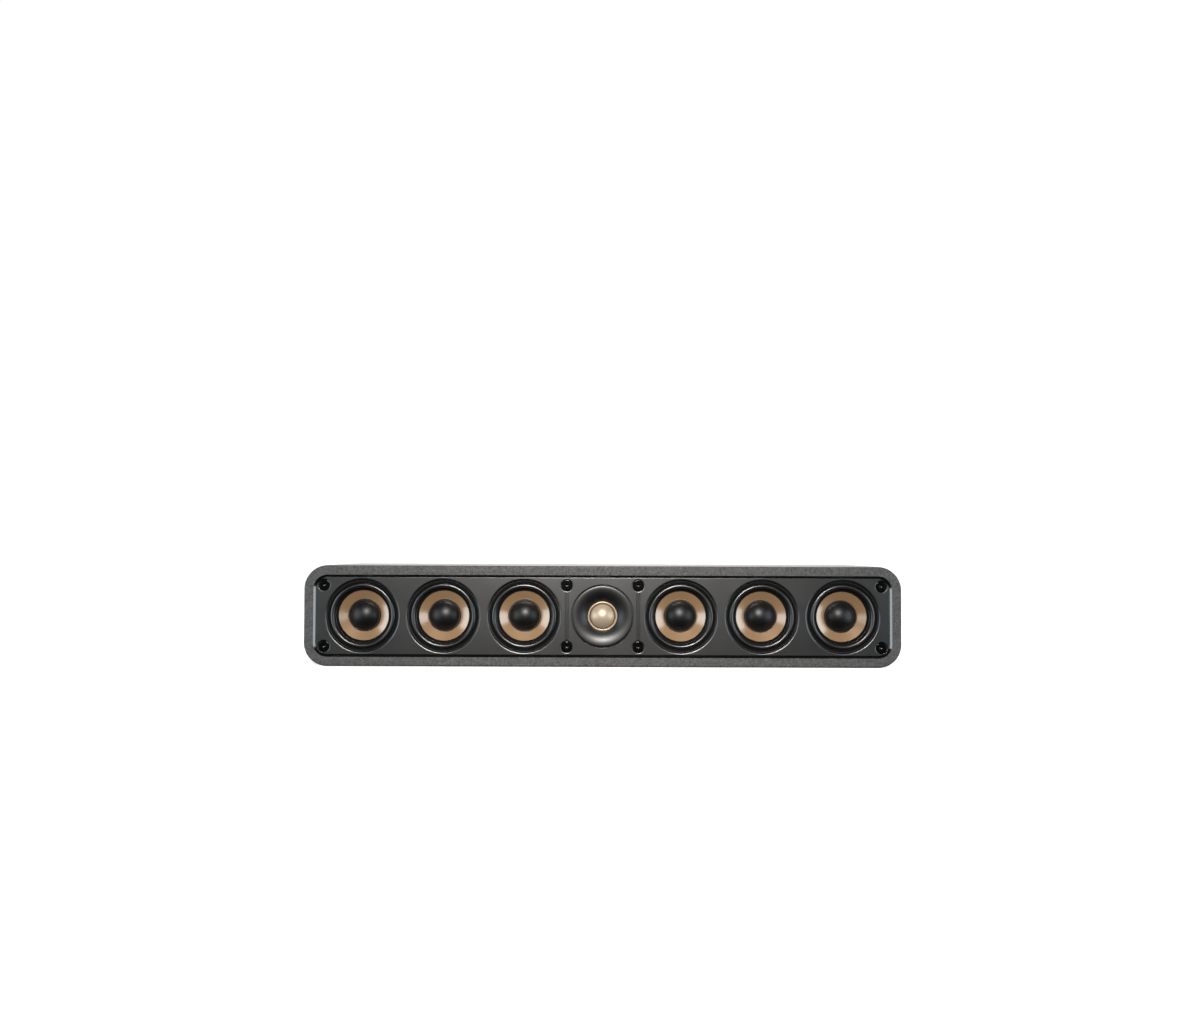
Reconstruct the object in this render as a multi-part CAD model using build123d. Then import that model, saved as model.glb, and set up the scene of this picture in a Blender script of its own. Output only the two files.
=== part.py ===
from build123d import *
import os
from math import cos, pi, radians, sin, sqrt, tan

# A slim centre channel loudspeaker: three small woofers on each side of a dome tweeter.
# It is drawn in front elevation, in millimetres: x to the right, y up from mid height and
# z towards the listener from mid depth. Each piece is stood up, facing -Y, as it is written.

# Clearances
panel_gap = 0.3  # front panels in the frame's opening
seam_gap = 0.2  # between neighbouring front panels
flange_clear = 0.3  # driver flanges behind and beside the front panels
faceplate_gap = 0.5  # tweeter faceplate in its round hole
board_clear = 0.2  # boards and plates in their rebates and recesses
basket_clear = 0.6  # woofer baskets in the baffle's holes
coil_clear = 0.5  # voice coils in their magnet gaps
bond = 0.1  # glue lines
screw_clear = 0.1  # screws in their holes
head_clear = 0.8  # panel screw heads in their counterbores
throat_clear = 0.6  # tweeter dome in its throat
thread_clear = 0.1  # terminal caps and washers on their posts

# Cabinet
cabinet_depth = 154.0
wall = 9.0
rebate = 4.0
rear_chamfer = 1.0
baffle_thickness = 12.0
rear_thickness = 12.0
brace_thickness = 9.0
brace_bar = 14.0
brace_corner = 8.0
blind_skin = 3.0  # board left beyond a screw point

# Front frame and panels
bezel_band = 9.6
bezel_chamfer = 2.0
bezel_round = 2.0
panel_corner = 12.1
plate_thickness = 3.0
rim_wall = 1.1
edge_round = 0.6
edge_land = 0.3
seam_margin = 5.0
seam_land = 5.5
end_land = 9.3
woofer_gap = 6.3
channel_width = 3.0
channel_depth = 0.8
channel_slope = 0.5

# Panel screws
screw_land = 0.35
counterbore_depth = 3.6
counterbore_round = 0.7
boss_wall = 1.2
screw_head_radius = 4.2
screw_head_height = 2.8
screw_head_round = 0.8
screw_radius = 1.8
hex_radius = 2.2
hex_depth = 1.6

# Woofers
basket_bore = 33.4
basket_wall = 1.2
basket_straight = 6.0
flange_seat = 3.0
flange_thickness = 3.2
flange_cover = 1.6
ear_reach = 4.2
ear_margin = 1.2
ear_inset = 0.5
ear_thickness = 1.5
window_count = 6
window_width = 14.0
driver_screw_radius = 1.6
driver_screw_head = 2.8
gasket_inset = 0.8
gasket_height = 1.1
gasket_edge = 0.3
roll_radius = 2.3
roll_lift = 0.2
surround_wall = 0.6
lip_width = 3.1
glue_width = 2.5
cone_set = 1.2
cone_slope = 30.0
cone_wall = 0.6
cap_radius = 16.5
cap_draft = 0.8
cap_skirt = 1.7
cap_brim = 1.4
cap_groove = 0.4
cap_dome_height = 7.0
cap_wall = 0.6
coil_radius = 9.8
former_wall = 0.4
winding_wall = 0.7
winding_length = 8.0
coil_tail = 1.0
spider_drop = 3.0
spider_radius = 26.8
spider_seat = 3.8
spider_collar = 1.7
spider_wave = 0.9
spider_folds = 6
spider_wall = 0.5
well_depth = 7.0
motor_radius = 26.0
magnet_margin = 2.0
magnet_air = 3.6
magnet_thickness = 10.0
pole_plate = 4.0

# Tweeter
faceplate_radius = 31.0
faceplate_round = 0.5
faceplate_flange = 3.2
flare_land = 2.5
throat_wall = 0.6
dome_base = 13.3
dome_height = 7.2
dome_wall = 0.5
dome_lip = 1.8
dome_lip_thickness = 0.6
dome_roll_height = 0.9
tweeter_winding = 0.5
tweeter_coil_length = 5.5
tweeter_motor_radius = 26.0
tweeter_magnet_margin = 1.0
tweeter_magnet_thickness = 8.0
tweeter_hole_clear = 2.0

# Terminals
cup_width = 84.0
cup_height = 48.0
cup_corner = 8.0
cup_depth = 30.0
cup_wall = 2.5
cup_flange = 8.0
cup_flange_thickness = 3.0
cup_draft = 6.0
post_spacing = 19.0
post_radius = 3.9
post_length = 20.0
post_collar_radius = 6.2
post_collar = 2.0
post_stud_radius = 2.9
post_stud_length = 12.0
plug_radius = 2.0
plug_floor = 1.0
wire_hole_radius = 1.5
wire_hole_lift = 0.5
washer_radius = 6.6
washer_thickness = 1.2
cap_grip_radius = 7.4
cap_end_wall = 1.9
cap_mouth_radius = 2.5
cap_mouth_chamfer = 1.2
flute_count = 12
flute_radius = 1.1

# Rear fittings
port_radius = 16.0
port_wall = 2.5
port_length = 62.0
port_flare = 7.0
port_flange = 3.0
port_flange_thickness = 2.5
hanger_spacing = 406.4
hanger_top = 5.3
hanger_width = 16.0
hanger_length = 46.0
hanger_corner = 5.0
hanger_thickness = 1.5
hanger_skin = 2.5
hanger_margin = 2.0
keyhole_radius = 4.6
keyhole_slot = 2.3
keyhole_rise = 9.0
wood_screw_radius = 1.5
wood_screw_head = 3.2

# Crossover
board_width = 56.0
board_height = 66.0
board_thickness = 1.6
inductor_radius = 12.5
inductor_bore = 5.5
inductor_height = 12.0
capacitor_radius = 6.0
capacitor_length = 34.0
component_gap = 1.5

# Sizes that follow from the drivers outwards
flange_radius = basket_bore + basket_wall + basket_clear + flange_seat
opening_radius = flange_radius - flange_cover
panel_half_height = flange_radius + flange_clear + rim_wall
opening_round = panel_half_height - edge_round - edge_land - opening_radius
opening_round = min(opening_round, plate_thickness - edge_round)
panel_depth = plate_thickness + flange_clear + flange_thickness
woofer_pitch = 2 * flange_radius + woofer_gap
seam_x = faceplate_radius + faceplate_gap + seam_margin
first_woofer = seam_x + seam_land + flange_radius
side_woofers = [first_woofer + step * woofer_pitch for step in range(3)]
woofer_places = [-x for x in reversed(side_woofers)] + side_woofers
panel_half_width = side_woofers[-1] + flange_radius + end_land
panel_inset = bezel_band + bezel_chamfer + panel_gap
half_width = panel_half_width + panel_inset
half_height = panel_half_height + panel_inset
corner_radius = panel_corner + panel_inset
front_z = cabinet_depth / 2
rear_z = -cabinet_depth / 2
panel_z = front_z - bezel_chamfer
plate_back_z = panel_z - plate_thickness
baffle_z = panel_z - panel_depth
baffle_back_z = baffle_z - baffle_thickness
rear_inner_z = rear_z + rear_thickness

# Panel screws: one in each corner of the row, on the corner's own diagonal, and two at each seam
counterbore_radius = screw_head_radius + head_clear
sink_radius = counterbore_radius + counterbore_round
corner_throw = panel_corner - edge_round - screw_land - sink_radius
screw_inset = panel_corner - corner_throw / sqrt(2)
screw_y = panel_half_height - screw_inset
end_screw_x = panel_half_width - screw_inset
screw_seat_z = panel_z - counterbore_depth
screw_columns = (-end_screw_x, -seam_x, seam_x, end_screw_x)
screw_places = [(x, y) for x in screw_columns for y in (-screw_y, screw_y)]

# Woofer screw ears, just inside the height of the flange
ear_radius = driver_screw_head + ear_margin
ear_y = flange_radius - ear_radius - ear_inset
ear_x = sqrt((flange_radius + ear_reach) ** 2 - ear_y**2)
ear_places = [(x, y) for x in (-ear_x, ear_x) for y in (-ear_y, ear_y)]
board_grip = baffle_thickness - blind_skin


def outline(inset):
    """The cabinet's rounded front outline, drawn in by an inset."""
    return RectangleRounded(
        2 * (half_width - inset), 2 * (half_height - inset), corner_radius - inset
    )


def block(sketch, low, high):
    """A front elevation sketch as a solid between two depths."""
    return extrude(Pos(0, 0, low) * sketch, high - low)


def tube(outer, inner, low, high):
    """A round tube about the z axis."""
    return block(Circle(outer) - Circle(inner), low, high)


def run(*points):
    """Straight lines through (radius, depth) points."""
    return Polyline(*[(radius, 0, depth) for radius, depth in points])


def bow(start, middle, end):
    """An arc through three (radius, depth) points."""
    return ThreePointArc(*[(radius, 0, depth) for radius, depth in (start, middle, end)])


def turned(profile):
    """A closed profile of runs and bows, turned about the z axis."""
    return revolve(make_face(profile.edges()), Axis.Z)


def cap_arc(base, height, level):
    """The arc of a dome from its base at one level up to its crown, and the arc's centre."""
    radius = (base**2 + height**2) / (2 * height)
    centre = level + height - radius
    side = base / sqrt(2)
    middle = (side, centre + sqrt(radius**2 - side**2))
    return bow((base, level), middle, (0, level + height)), radius, centre


def spread(piece, places, depth=0):
    """Copies of a piece at (x, y) places, all at one depth."""
    return [Pos(x, y, depth) * piece for x, y in places]


def wood_screw(length, clear=0):
    """A flat-headed wood screw, flush at z = 0 and facing -z, or the hole that it needs."""
    wide = wood_screw_head + clear
    narrow = wood_screw_radius + clear
    return turned(
        run(
            (0, 0),
            (wide, 0),
            (narrow, wide - narrow),
            (narrow, length + clear),
            (0, length + clear),
            (0, 0),
        )
    )


# Cabinet sleeve, rebated at both ends for the boards
cabinet_sleeve = block(outline(0), rear_z, baffle_z)
cabinet_sleeve = chamfer(cabinet_sleeve.faces().sort_by(Axis.Z)[0].edges(), rear_chamfer)
cabinet_sleeve -= block(outline(wall), rear_z, baffle_z)
cabinet_sleeve -= block(outline(wall - rebate), baffle_back_z, baffle_z)
cabinet_sleeve -= block(outline(wall - rebate), rear_z, rear_inner_z)

# Front frame, a flat band with a bevel down to the panels
front_bezel = block(outline(0) - outline(bezel_band + bezel_chamfer), baffle_z, front_z)
bezel_mouth = front_bezel.faces().sort_by(Axis.Z)[-1].inner_wires()[0].edges()
front_bezel = chamfer(bezel_mouth, bezel_chamfer)
bezel_rim = front_bezel.faces().sort_by(Axis.Z)[-1].outer_wire().edges()
front_bezel = fillet(bezel_rim, bezel_round)


def panel_set():
    """The three front panels as one moulding, before they are parted at the seams."""
    plate = block(outline(panel_inset), plate_back_z, panel_z)
    plate = fillet(plate.faces().sort_by(Axis.Z)[-1].edges(), edge_round)
    rim = outline(panel_inset) - outline(panel_inset + rim_wall)
    bosses = Sketch() + [Pos(x, y) * Circle(counterbore_radius + boss_wall) for x, y in screw_places]
    skirt = (rim + bosses) & outline(panel_inset)
    panel = plate + block(skirt, baffle_z, plate_back_z)
    mouths = [Pos(x, 0) * Circle(opening_radius) for x in woofer_places]
    mouths.append(Circle(faceplate_radius + faceplate_gap))
    sinks = [Pos(x, y) * Circle(counterbore_radius) for x, y in screw_places]
    holes = [Pos(x, y) * Circle(screw_radius + screw_clear) for x, y in screw_places]
    panel -= block(Sketch() + mouths, baffle_z, panel_z)
    panel -= block(Sketch() + sinks, screw_seat_z, panel_z)
    panel -= block(Sketch() + holes, baffle_z, screw_seat_z)
    for radius, rounding in (
        (opening_radius, opening_round),
        (faceplate_radius + faceplate_gap, edge_round),
        (counterbore_radius, counterbore_round),
    ):
        rims = panel.edges().filter_by(GeomType.CIRCLE).group_by(Axis.Z)[-1]
        panel = fillet(rims.filter_by(lambda edge: abs(edge.radius - radius) < edge_land), rounding)
    groove = Polygon(
        (-channel_width / 2 - channel_slope, 0),
        (channel_width / 2 + channel_slope, 0),
        (channel_width / 2, -channel_depth),
        (-channel_width / 2, -channel_depth),
        align=None,
    )
    groove = extrude(Plane.XZ * groove, 2 * panel_half_height, both=True)
    return panel - spread(groove, [(-seam_x, 0), (seam_x, 0)], panel_z)


def between(low, high):
    """A slab of the panels' height and depth between two places along x."""
    slab = Pos((low + high) / 2, 0) * Rectangle(high - low, 2 * half_height)
    return block(slab, baffle_z, panel_z)


panels = panel_set()
left_panel = panels & between(-half_width, -seam_x - seam_gap / 2)
center_panel = panels & between(-seam_x + seam_gap / 2, seam_x - seam_gap / 2)
right_panel = panels & between(seam_x + seam_gap / 2, half_width)

# Socket-headed panel screws
screw_head = block(Circle(screw_head_radius), 0, screw_head_height)
screw_head = fillet(screw_head.edges().sort_by(Axis.Z)[-1], screw_head_round)
screw_head -= block(RegularPolygon(hex_radius, 6), screw_head_height - hex_depth, screw_head_height)
screw_shank = block(Circle(screw_radius), baffle_z - board_grip - screw_seat_z, 0)
panel_screws = spread(screw_head + screw_shank, screw_places, screw_seat_z)

# Woofer levels, from the flange's seat on the baffle
cone_radius = basket_bore - 2 * roll_radius - lip_width
cone_rim = cone_radius + glue_width
cone_edge = -cone_set
neck_radius = coil_radius + former_wall + bond
fall = tan(radians(cone_slope))
neck_depth = cone_edge - (cone_radius - neck_radius) * fall
spider_depth = neck_depth - cone_wall - spider_drop
floor_depth = spider_depth - spider_wall - well_depth
plate_depth = floor_depth - basket_wall
magnet_depth = plate_depth - pole_plate
yoke_depth = magnet_depth - magnet_thickness
gap_radius = coil_radius + former_wall + winding_wall + coil_clear
well_radius = spider_radius - spider_seat


def basket():
    """A pressed basket: flange with screw ears, windowed cone, spider shelf and motor well."""
    shelf = spider_depth - spider_wall
    shelf_radius = spider_radius + flange_clear
    shell = turned(
        run(
            (basket_bore, flange_thickness),
            (flange_radius, flange_thickness),
            (flange_radius, 0),
            (basket_bore + basket_wall, 0),
            (basket_bore + basket_wall, -basket_straight),
            (shelf_radius + basket_wall, shelf - basket_wall),
            (well_radius + basket_wall, shelf - basket_wall),
            (well_radius + basket_wall, plate_depth),
            (gap_radius, plate_depth),
            (gap_radius, floor_depth),
            (well_radius, floor_depth),
            (well_radius, shelf),
            (shelf_radius, shelf),
            (basket_bore, -basket_straight),
            (basket_bore, flange_thickness),
        )
    )
    ears = Sketch()
    for x, y in ear_places:
        ears += Pos(x, y) * Circle(ear_radius)
        ears += Pos(x / 2, y) * Rectangle(abs(x), 2 * ear_radius)
    ears -= Circle(basket_bore + basket_wall)
    ears -= [Pos(x, y) * Circle(driver_screw_radius + screw_clear) for x, y in ear_places]
    shell += block(ears, 0, ear_thickness)
    window = block(
        Pos(flange_radius / 2 + shelf_radius / 2, 0)
        * Rectangle(flange_radius - shelf_radius, window_width),
        shelf + basket_wall,
        -basket_straight,
    )
    return shell - [Rot(0, 0, 360 / window_count * step) * window for step in range(window_count)]


def surround():
    """A rubber half roll, from its gasket on the flange down to its lip on the cone."""
    gasket_radius = opening_radius - gasket_inset
    gasket_top = flange_thickness + gasket_height
    centre = (basket_bore - roll_radius, flange_thickness + roll_lift)
    inner = roll_radius - surround_wall
    foot = centre[0] - roll_radius
    outside = run(
        (centre[0] + inner, flange_thickness),
        (gasket_radius, flange_thickness),
        (gasket_radius, gasket_top - gasket_edge),
        (gasket_radius - gasket_edge, gasket_top),
        (basket_bore + gasket_edge, gasket_top),
        (centre[0] + roll_radius, centre[1]),
    )
    crest = bow(
        (centre[0] + roll_radius, centre[1]),
        (centre[0], centre[1] + roll_radius),
        (foot, centre[1]),
    )
    lip = run(
        (foot, centre[1]),
        (foot, cone_edge + surround_wall),
        (cone_radius, cone_edge + surround_wall),
        (cone_radius, cone_edge),
        (foot + surround_wall, cone_edge),
        (foot + surround_wall, centre[1]),
    )
    hollow = bow(
        (foot + surround_wall, centre[1]),
        (centre[0], centre[1] + inner),
        (centre[0] + inner, centre[1]),
    )
    close = run((centre[0] + inner, centre[1]), (centre[0] + inner, flange_thickness))
    return turned(outside + crest + lip + hollow + close)


def cone():
    """A straight-sided cone with a flat rim under the surround's lip."""
    return turned(
        run(
            (cone_rim, cone_edge),
            (cone_radius, cone_edge),
            (neck_radius, neck_depth),
            (neck_radius, neck_depth - cone_wall),
            (cone_radius, cone_edge - cone_wall),
            (cone_rim, cone_edge - cone_wall),
            (cone_rim, cone_edge),
        )
    )


def dust_cap():
    """A domed cap with a flat brim and a short skirt that stands on the cone."""
    foot = cone_edge - (cone_radius - cap_radius) * fall
    brim = foot + cap_skirt
    brim_radius = cap_radius - cap_draft
    base = brim_radius - cap_brim
    level = brim - cap_groove
    dome, radius, centre = cap_arc(base, cap_dome_height, level)
    crown = level + cap_dome_height
    hollow_base = sqrt((radius - cap_wall) ** 2 - (level - centre) ** 2)
    inside, _, _ = cap_arc(hollow_base, cap_dome_height - cap_wall, level)
    axis = run((0, crown), (0, crown - cap_wall))
    skirt = run(
        (hollow_base, level),
        (hollow_base, level - cap_wall),
        (brim_radius - cap_wall, level - cap_wall),
        (cap_radius - cap_wall, foot - cap_wall * fall),
        (cap_radius, foot),
        (brim_radius, brim),
        (base + cap_groove, brim),
        (base, level),
    )
    return turned(dome + axis + inside + skirt)


def voice_coil():
    """The former below the cone's neck with its winding in the magnet gap."""
    middle = plate_depth - pole_plate / 2
    low = middle - winding_length / 2
    high = middle + winding_length / 2
    former = coil_radius + former_wall
    return turned(
        run(
            (coil_radius, neck_depth),
            (former, neck_depth),
            (former, high),
            (former + winding_wall, high),
            (former + winding_wall, low),
            (former, low),
            (former, low - coil_tail),
            (coil_radius, low - coil_tail),
            (coil_radius, neck_depth),
        )
    )


def spider():
    """A corrugated spider, from its collar on the former out to the basket's shelf."""
    inner = coil_radius + former_wall + bond
    collar = inner + spider_collar
    fold = (well_radius - collar) / spider_folds
    line = [(inner, 0), (collar, 0)]
    for step in range(1, spider_folds):
        line.append((collar + fold * step, spider_wave if step % 2 else -spider_wave))
    line += [(well_radius, 0), (spider_radius, 0)]
    top = [(radius, spider_depth + lift) for radius, lift in line]
    under = [(radius, depth - spider_wall) for radius, depth in reversed(top)]
    return turned(run(*top, *under, top[0]))


woofer_seats = [(x, 0) for x in woofer_places]
baskets = spread(basket(), woofer_seats, baffle_z)
surrounds = spread(surround(), woofer_seats, baffle_z)
cones = spread(cone(), woofer_seats, baffle_z)
dust_caps = spread(dust_cap(), woofer_seats, baffle_z)
voice_coils = spread(voice_coil(), woofer_seats, baffle_z)
woofer_spiders = spread(spider(), woofer_seats, baffle_z)
top_plate = tube(motor_radius, gap_radius, magnet_depth, plate_depth)
magnet = tube(motor_radius + magnet_margin, gap_radius + magnet_air, yoke_depth, magnet_depth)
yoke = block(Circle(motor_radius), yoke_depth - pole_plate, yoke_depth)
yoke += block(Circle(coil_radius - coil_clear), yoke_depth, plate_depth)

# Pan-headed screws through the woofers' ears
driver_screw = block(Circle(driver_screw_head), ear_thickness, flange_thickness)
driver_screw += block(Circle(driver_screw_radius), -board_grip, ear_thickness)
driver_screw_places = [(place + x, y) for place in woofer_places for x, y in ear_places]
woofer_screws = spread(driver_screw, driver_screw_places, baffle_z)

# Tweeter levels, from the faceplate's seat on the baffle
roll_end = dome_base + 2 * dome_roll_height
lip_radius = roll_end + dome_lip
throat_radius = roll_end + throat_clear
flare_start = faceplate_radius - flare_land
pocket_depth = dome_lip_thickness + bond
throat_depth = pocket_depth + throat_wall
tweeter_former = dome_base - dome_wall - bond
tweeter_coil_radius = tweeter_former - former_wall
tweeter_gap_radius = tweeter_former + tweeter_winding + coil_clear


def tweeter_faceplate():
    """A round faceplate that flares from the dome's throat out to a flat rim."""
    reach = flare_start - throat_radius
    drop = panel_depth - throat_depth
    radius = (reach**2 + drop**2) / (2 * drop)
    middle = (flare_start - reach / 2, panel_depth - radius + sqrt(radius**2 - reach**2 / 4))
    flange = faceplate_radius + faceplate_flange
    pocket = lip_radius + board_clear
    body = run(
        (throat_radius, throat_depth),
        (throat_radius, pocket_depth),
        (pocket, pocket_depth),
        (pocket, 0),
        (flange, 0),
        (flange, flange_thickness),
        (faceplate_radius, flange_thickness),
        (faceplate_radius, panel_depth),
        (flare_start, panel_depth),
    )
    flare = bow((flare_start, panel_depth), middle, (throat_radius, throat_depth))
    plate = turned(body + flare)
    rims = plate.edges().filter_by(GeomType.CIRCLE).group_by(Axis.Z)[-1]
    return fillet(rims.sort_by(lambda edge: edge.radius)[-1], faceplate_round)


def tweeter_dome():
    """A soft dome formed in one piece with its half roll and its glued lip."""
    level = dome_lip_thickness
    dome, radius, centre = cap_arc(dome_base, dome_height, level)
    crown = level + dome_height
    hollow_base = sqrt((radius - dome_wall) ** 2 - centre**2)
    inside, _, _ = cap_arc(hollow_base, crown - dome_wall, 0)
    edge = run((hollow_base, 0), (lip_radius, 0), (lip_radius, level), (roll_end, level))
    ridge = bow(
        (roll_end, level),
        (dome_base + dome_roll_height, level + dome_roll_height),
        (dome_base, level),
    )
    axis = run((0, crown), (0, crown - dome_wall))
    return turned(edge + ridge + dome + axis + inside)


def tweeter_voice_coil():
    """The dome's former, with its winding in the gap."""
    top = -bond
    low = -tweeter_coil_length
    return turned(
        run(
            (tweeter_coil_radius, top),
            (tweeter_former, top),
            (tweeter_former, top - tweeter_winding),
            (tweeter_former + tweeter_winding, top - tweeter_winding),
            (tweeter_former + tweeter_winding, low),
            (tweeter_coil_radius, low),
            (tweeter_coil_radius, top),
        )
    )


tweeter_yoke_depth = -pole_plate - tweeter_magnet_thickness
tweeter_top_plate = tube(tweeter_motor_radius, tweeter_gap_radius, -pole_plate, 0)
tweeter_magnet = tube(
    tweeter_motor_radius + tweeter_magnet_margin,
    tweeter_gap_radius + magnet_air,
    tweeter_yoke_depth,
    -pole_plate,
)
tweeter_yoke = block(
    Circle(tweeter_motor_radius), tweeter_yoke_depth - pole_plate, tweeter_yoke_depth
)
tweeter_yoke += block(Circle(tweeter_coil_radius - coil_clear), tweeter_yoke_depth, -bond)
motor_top_plates = spread(top_plate, woofer_seats, baffle_z) + [Pos(0, 0, baffle_z) * tweeter_top_plate]
motor_magnets = spread(magnet, woofer_seats, baffle_z) + [Pos(0, 0, baffle_z) * tweeter_magnet]
motor_yokes = spread(yoke, woofer_seats, baffle_z) + [Pos(0, 0, baffle_z) * tweeter_yoke]

# Baffle board with a hole for each driver and each screw
driver_hole = basket_bore + basket_wall + basket_clear
driver_holes = [Pos(x, 0) * Circle(driver_hole) for x in woofer_places]
driver_holes.append(Circle(tweeter_motor_radius + tweeter_hole_clear))
pilot_holes = [Pos(x, y) * Circle(screw_radius + screw_clear) for x, y in screw_places]
pilot_holes += [
    Pos(x, y) * Circle(driver_screw_radius + screw_clear) for x, y in driver_screw_places
]
sub_baffle = block(outline(wall - rebate + board_clear), baffle_back_z, baffle_z)
sub_baffle -= block(Sketch() + driver_holes + pilot_holes, baffle_back_z, baffle_z)

# Window braces between the baffle and the rear panel
brace_height = 2 * (half_height - wall - board_clear)
brace_depth = baffle_back_z - rear_inner_z - 2 * board_clear
brace_window = RectangleRounded(
    brace_height - 2 * brace_bar, (brace_depth - 3 * brace_bar) / 2, brace_corner
)
brace_pitch = (brace_depth - brace_bar) / 2
brace_sheet = Rectangle(brace_height, brace_depth)
brace_sheet -= [Pos(0, side * brace_pitch / 2) * brace_window for side in (-1, 1)]
brace = extrude(Plane.YZ * brace_sheet, brace_thickness / 2, both=True)
brace_x = (side_woofers[0] + side_woofers[1]) / 2
brace_z = (baffle_back_z + rear_inner_z) / 2
cabinet_braces = spread(brace, [(-brace_x, 0), (brace_x, 0)], brace_z)

# Terminal cup, sunk in the rear panel
cup_outer = RectangleRounded(
    cup_width + 2 * cup_wall, cup_height + 2 * cup_wall, cup_corner + cup_wall
)
cup_rim_width = cup_width + 2 * cup_wall + 2 * cup_flange
cup_rim_height = cup_height + 2 * cup_wall + 2 * cup_flange
cup_floor_z = rear_z + cup_depth
post_places = [(-post_spacing / 2, 0), (post_spacing / 2, 0)]
cup_screw_x = (cup_rim_width - cup_flange) / 2
cup_screw_y = (cup_rim_height - cup_flange) / 2
cup_screw_places = [(x, y) for x in (-cup_screw_x, cup_screw_x) for y in (-cup_screw_y, cup_screw_y)]
rear_screw_length = rear_thickness - blind_skin
rear_screw_hole = wood_screw(rear_screw_length, screw_clear)
cup_rim = RectangleRounded(cup_rim_width, cup_rim_height, cup_corner)
cup_mouth = RectangleRounded(cup_width, cup_height, cup_corner)
terminal_cup = block(cup_rim, rear_z, rear_z + cup_flange_thickness)
terminal_cup += Pos(0, 0, rear_z) * extrude(cup_outer, cup_depth + cup_wall, taper=cup_draft)
terminal_cup -= Pos(0, 0, rear_z) * extrude(cup_mouth, cup_depth, taper=cup_draft)
stud_hole = Circle(post_stud_radius + screw_clear)
stud_holes = Sketch() + [Pos(x, y) * stud_hole for x, y in post_places]
terminal_cup -= block(stud_holes, cup_floor_z, cup_floor_z + cup_wall)
terminal_cup -= spread(rear_screw_hole, cup_screw_places, rear_z)


def binding_post():
    """A metal post: stud through the cup's floor, collar, and a bored threaded end facing -z."""
    end = -post_collar - post_length
    wire_depth = -post_collar - washer_thickness - wire_hole_lift - wire_hole_radius
    bore_floor = wire_depth - wire_hole_radius - plug_floor
    post = turned(
        run(
            (0, post_stud_length),
            (post_stud_radius, post_stud_length),
            (post_stud_radius, 0),
            (post_collar_radius, 0),
            (post_collar_radius, -post_collar),
            (post_radius, -post_collar),
            (post_radius, end),
            (plug_radius, end),
            (plug_radius, bore_floor),
            (0, bore_floor),
            (0, post_stud_length),
        )
    )
    wire_hole = Rot(90, 0, 0) * Cylinder(wire_hole_radius, 2 * post_collar_radius)
    return post - Pos(0, 0, wire_depth) * wire_hole


def terminal_cap():
    """A fluted clamping cap, open at its end for a plug; it starts at z = 0 and faces -z."""
    bore = post_radius + thread_clear
    skirt = post_length - washer_thickness + thread_clear
    end = -skirt - cap_end_wall
    cap = turned(
        run(
            (bore, 0),
            (cap_grip_radius, 0),
            (cap_grip_radius, end + cap_mouth_chamfer),
            (cap_grip_radius - cap_mouth_chamfer, end),
            (cap_mouth_radius, end),
            (cap_mouth_radius, -skirt),
            (bore, -skirt),
            (bore, 0),
        )
    )
    flute = block(Circle(flute_radius), end, 0)
    turns = [2 * pi * step / flute_count for step in range(flute_count)]
    return cap - spread(
        flute, [(cap_grip_radius * cos(turn), cap_grip_radius * sin(turn)) for turn in turns]
    )


collar_z = cup_floor_z - post_collar
binding_posts = spread(binding_post(), post_places, cup_floor_z)
clamp_washer = tube(washer_radius, post_radius + thread_clear, -washer_thickness, 0)
clamp_washers = spread(clamp_washer, post_places, collar_z)
terminal_caps = spread(terminal_cap(), post_places, collar_z - washer_thickness)

# Reflex ports with flared mouths
port_x = (cup_rim_width / 2 + brace_x - brace_thickness / 2) / 2
port_places = [(-port_x, 0), (port_x, 0)]
port_outer = port_radius + port_wall
port_mouth = port_radius + port_flare
port_rim = port_mouth + port_flange
diagonal = port_flare * (1 - sqrt(1 / 2))
reflex_port = turned(
    run(
        (port_mouth, 0),
        (port_rim, 0),
        (port_rim, port_flange_thickness),
        (port_outer, port_flare),
        (port_outer, port_length),
        (port_radius, port_length),
        (port_radius, port_flare),
    )
    + bow((port_radius, port_flare), (port_radius + diagonal, diagonal), (port_mouth, 0))
)
reflex_ports = spread(reflex_port, port_places, rear_z)

# Keyhole hanger plates, let in flush
hanger_y = half_height - wall + rebate - hanger_top - hanger_length / 2
hanger_places = [(-hanger_spacing / 2, hanger_y), (hanger_spacing / 2, hanger_y)]
keyhole = Circle(keyhole_radius)
keyhole += Pos(0, keyhole_rise / 2) * Rectangle(2 * keyhole_slot, keyhole_rise)
keyhole += Pos(0, keyhole_rise) * Circle(keyhole_slot)
hanger_fixing = hanger_length / 2 - wood_screw_head - hanger_margin
hanger_fixings = [(0, -hanger_fixing), (0, hanger_fixing)]
hanger_screw_places = [(x, y + lift) for x, y in hanger_places for _, lift in hanger_fixings]
hanger_sheet = RectangleRounded(hanger_width, hanger_length, hanger_corner) - keyhole
hanger_plate = block(hanger_sheet, 0, hanger_thickness) - spread(rear_screw_hole, hanger_fixings)
keyhole_plates = spread(hanger_plate, hanger_places, rear_z)

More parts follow.
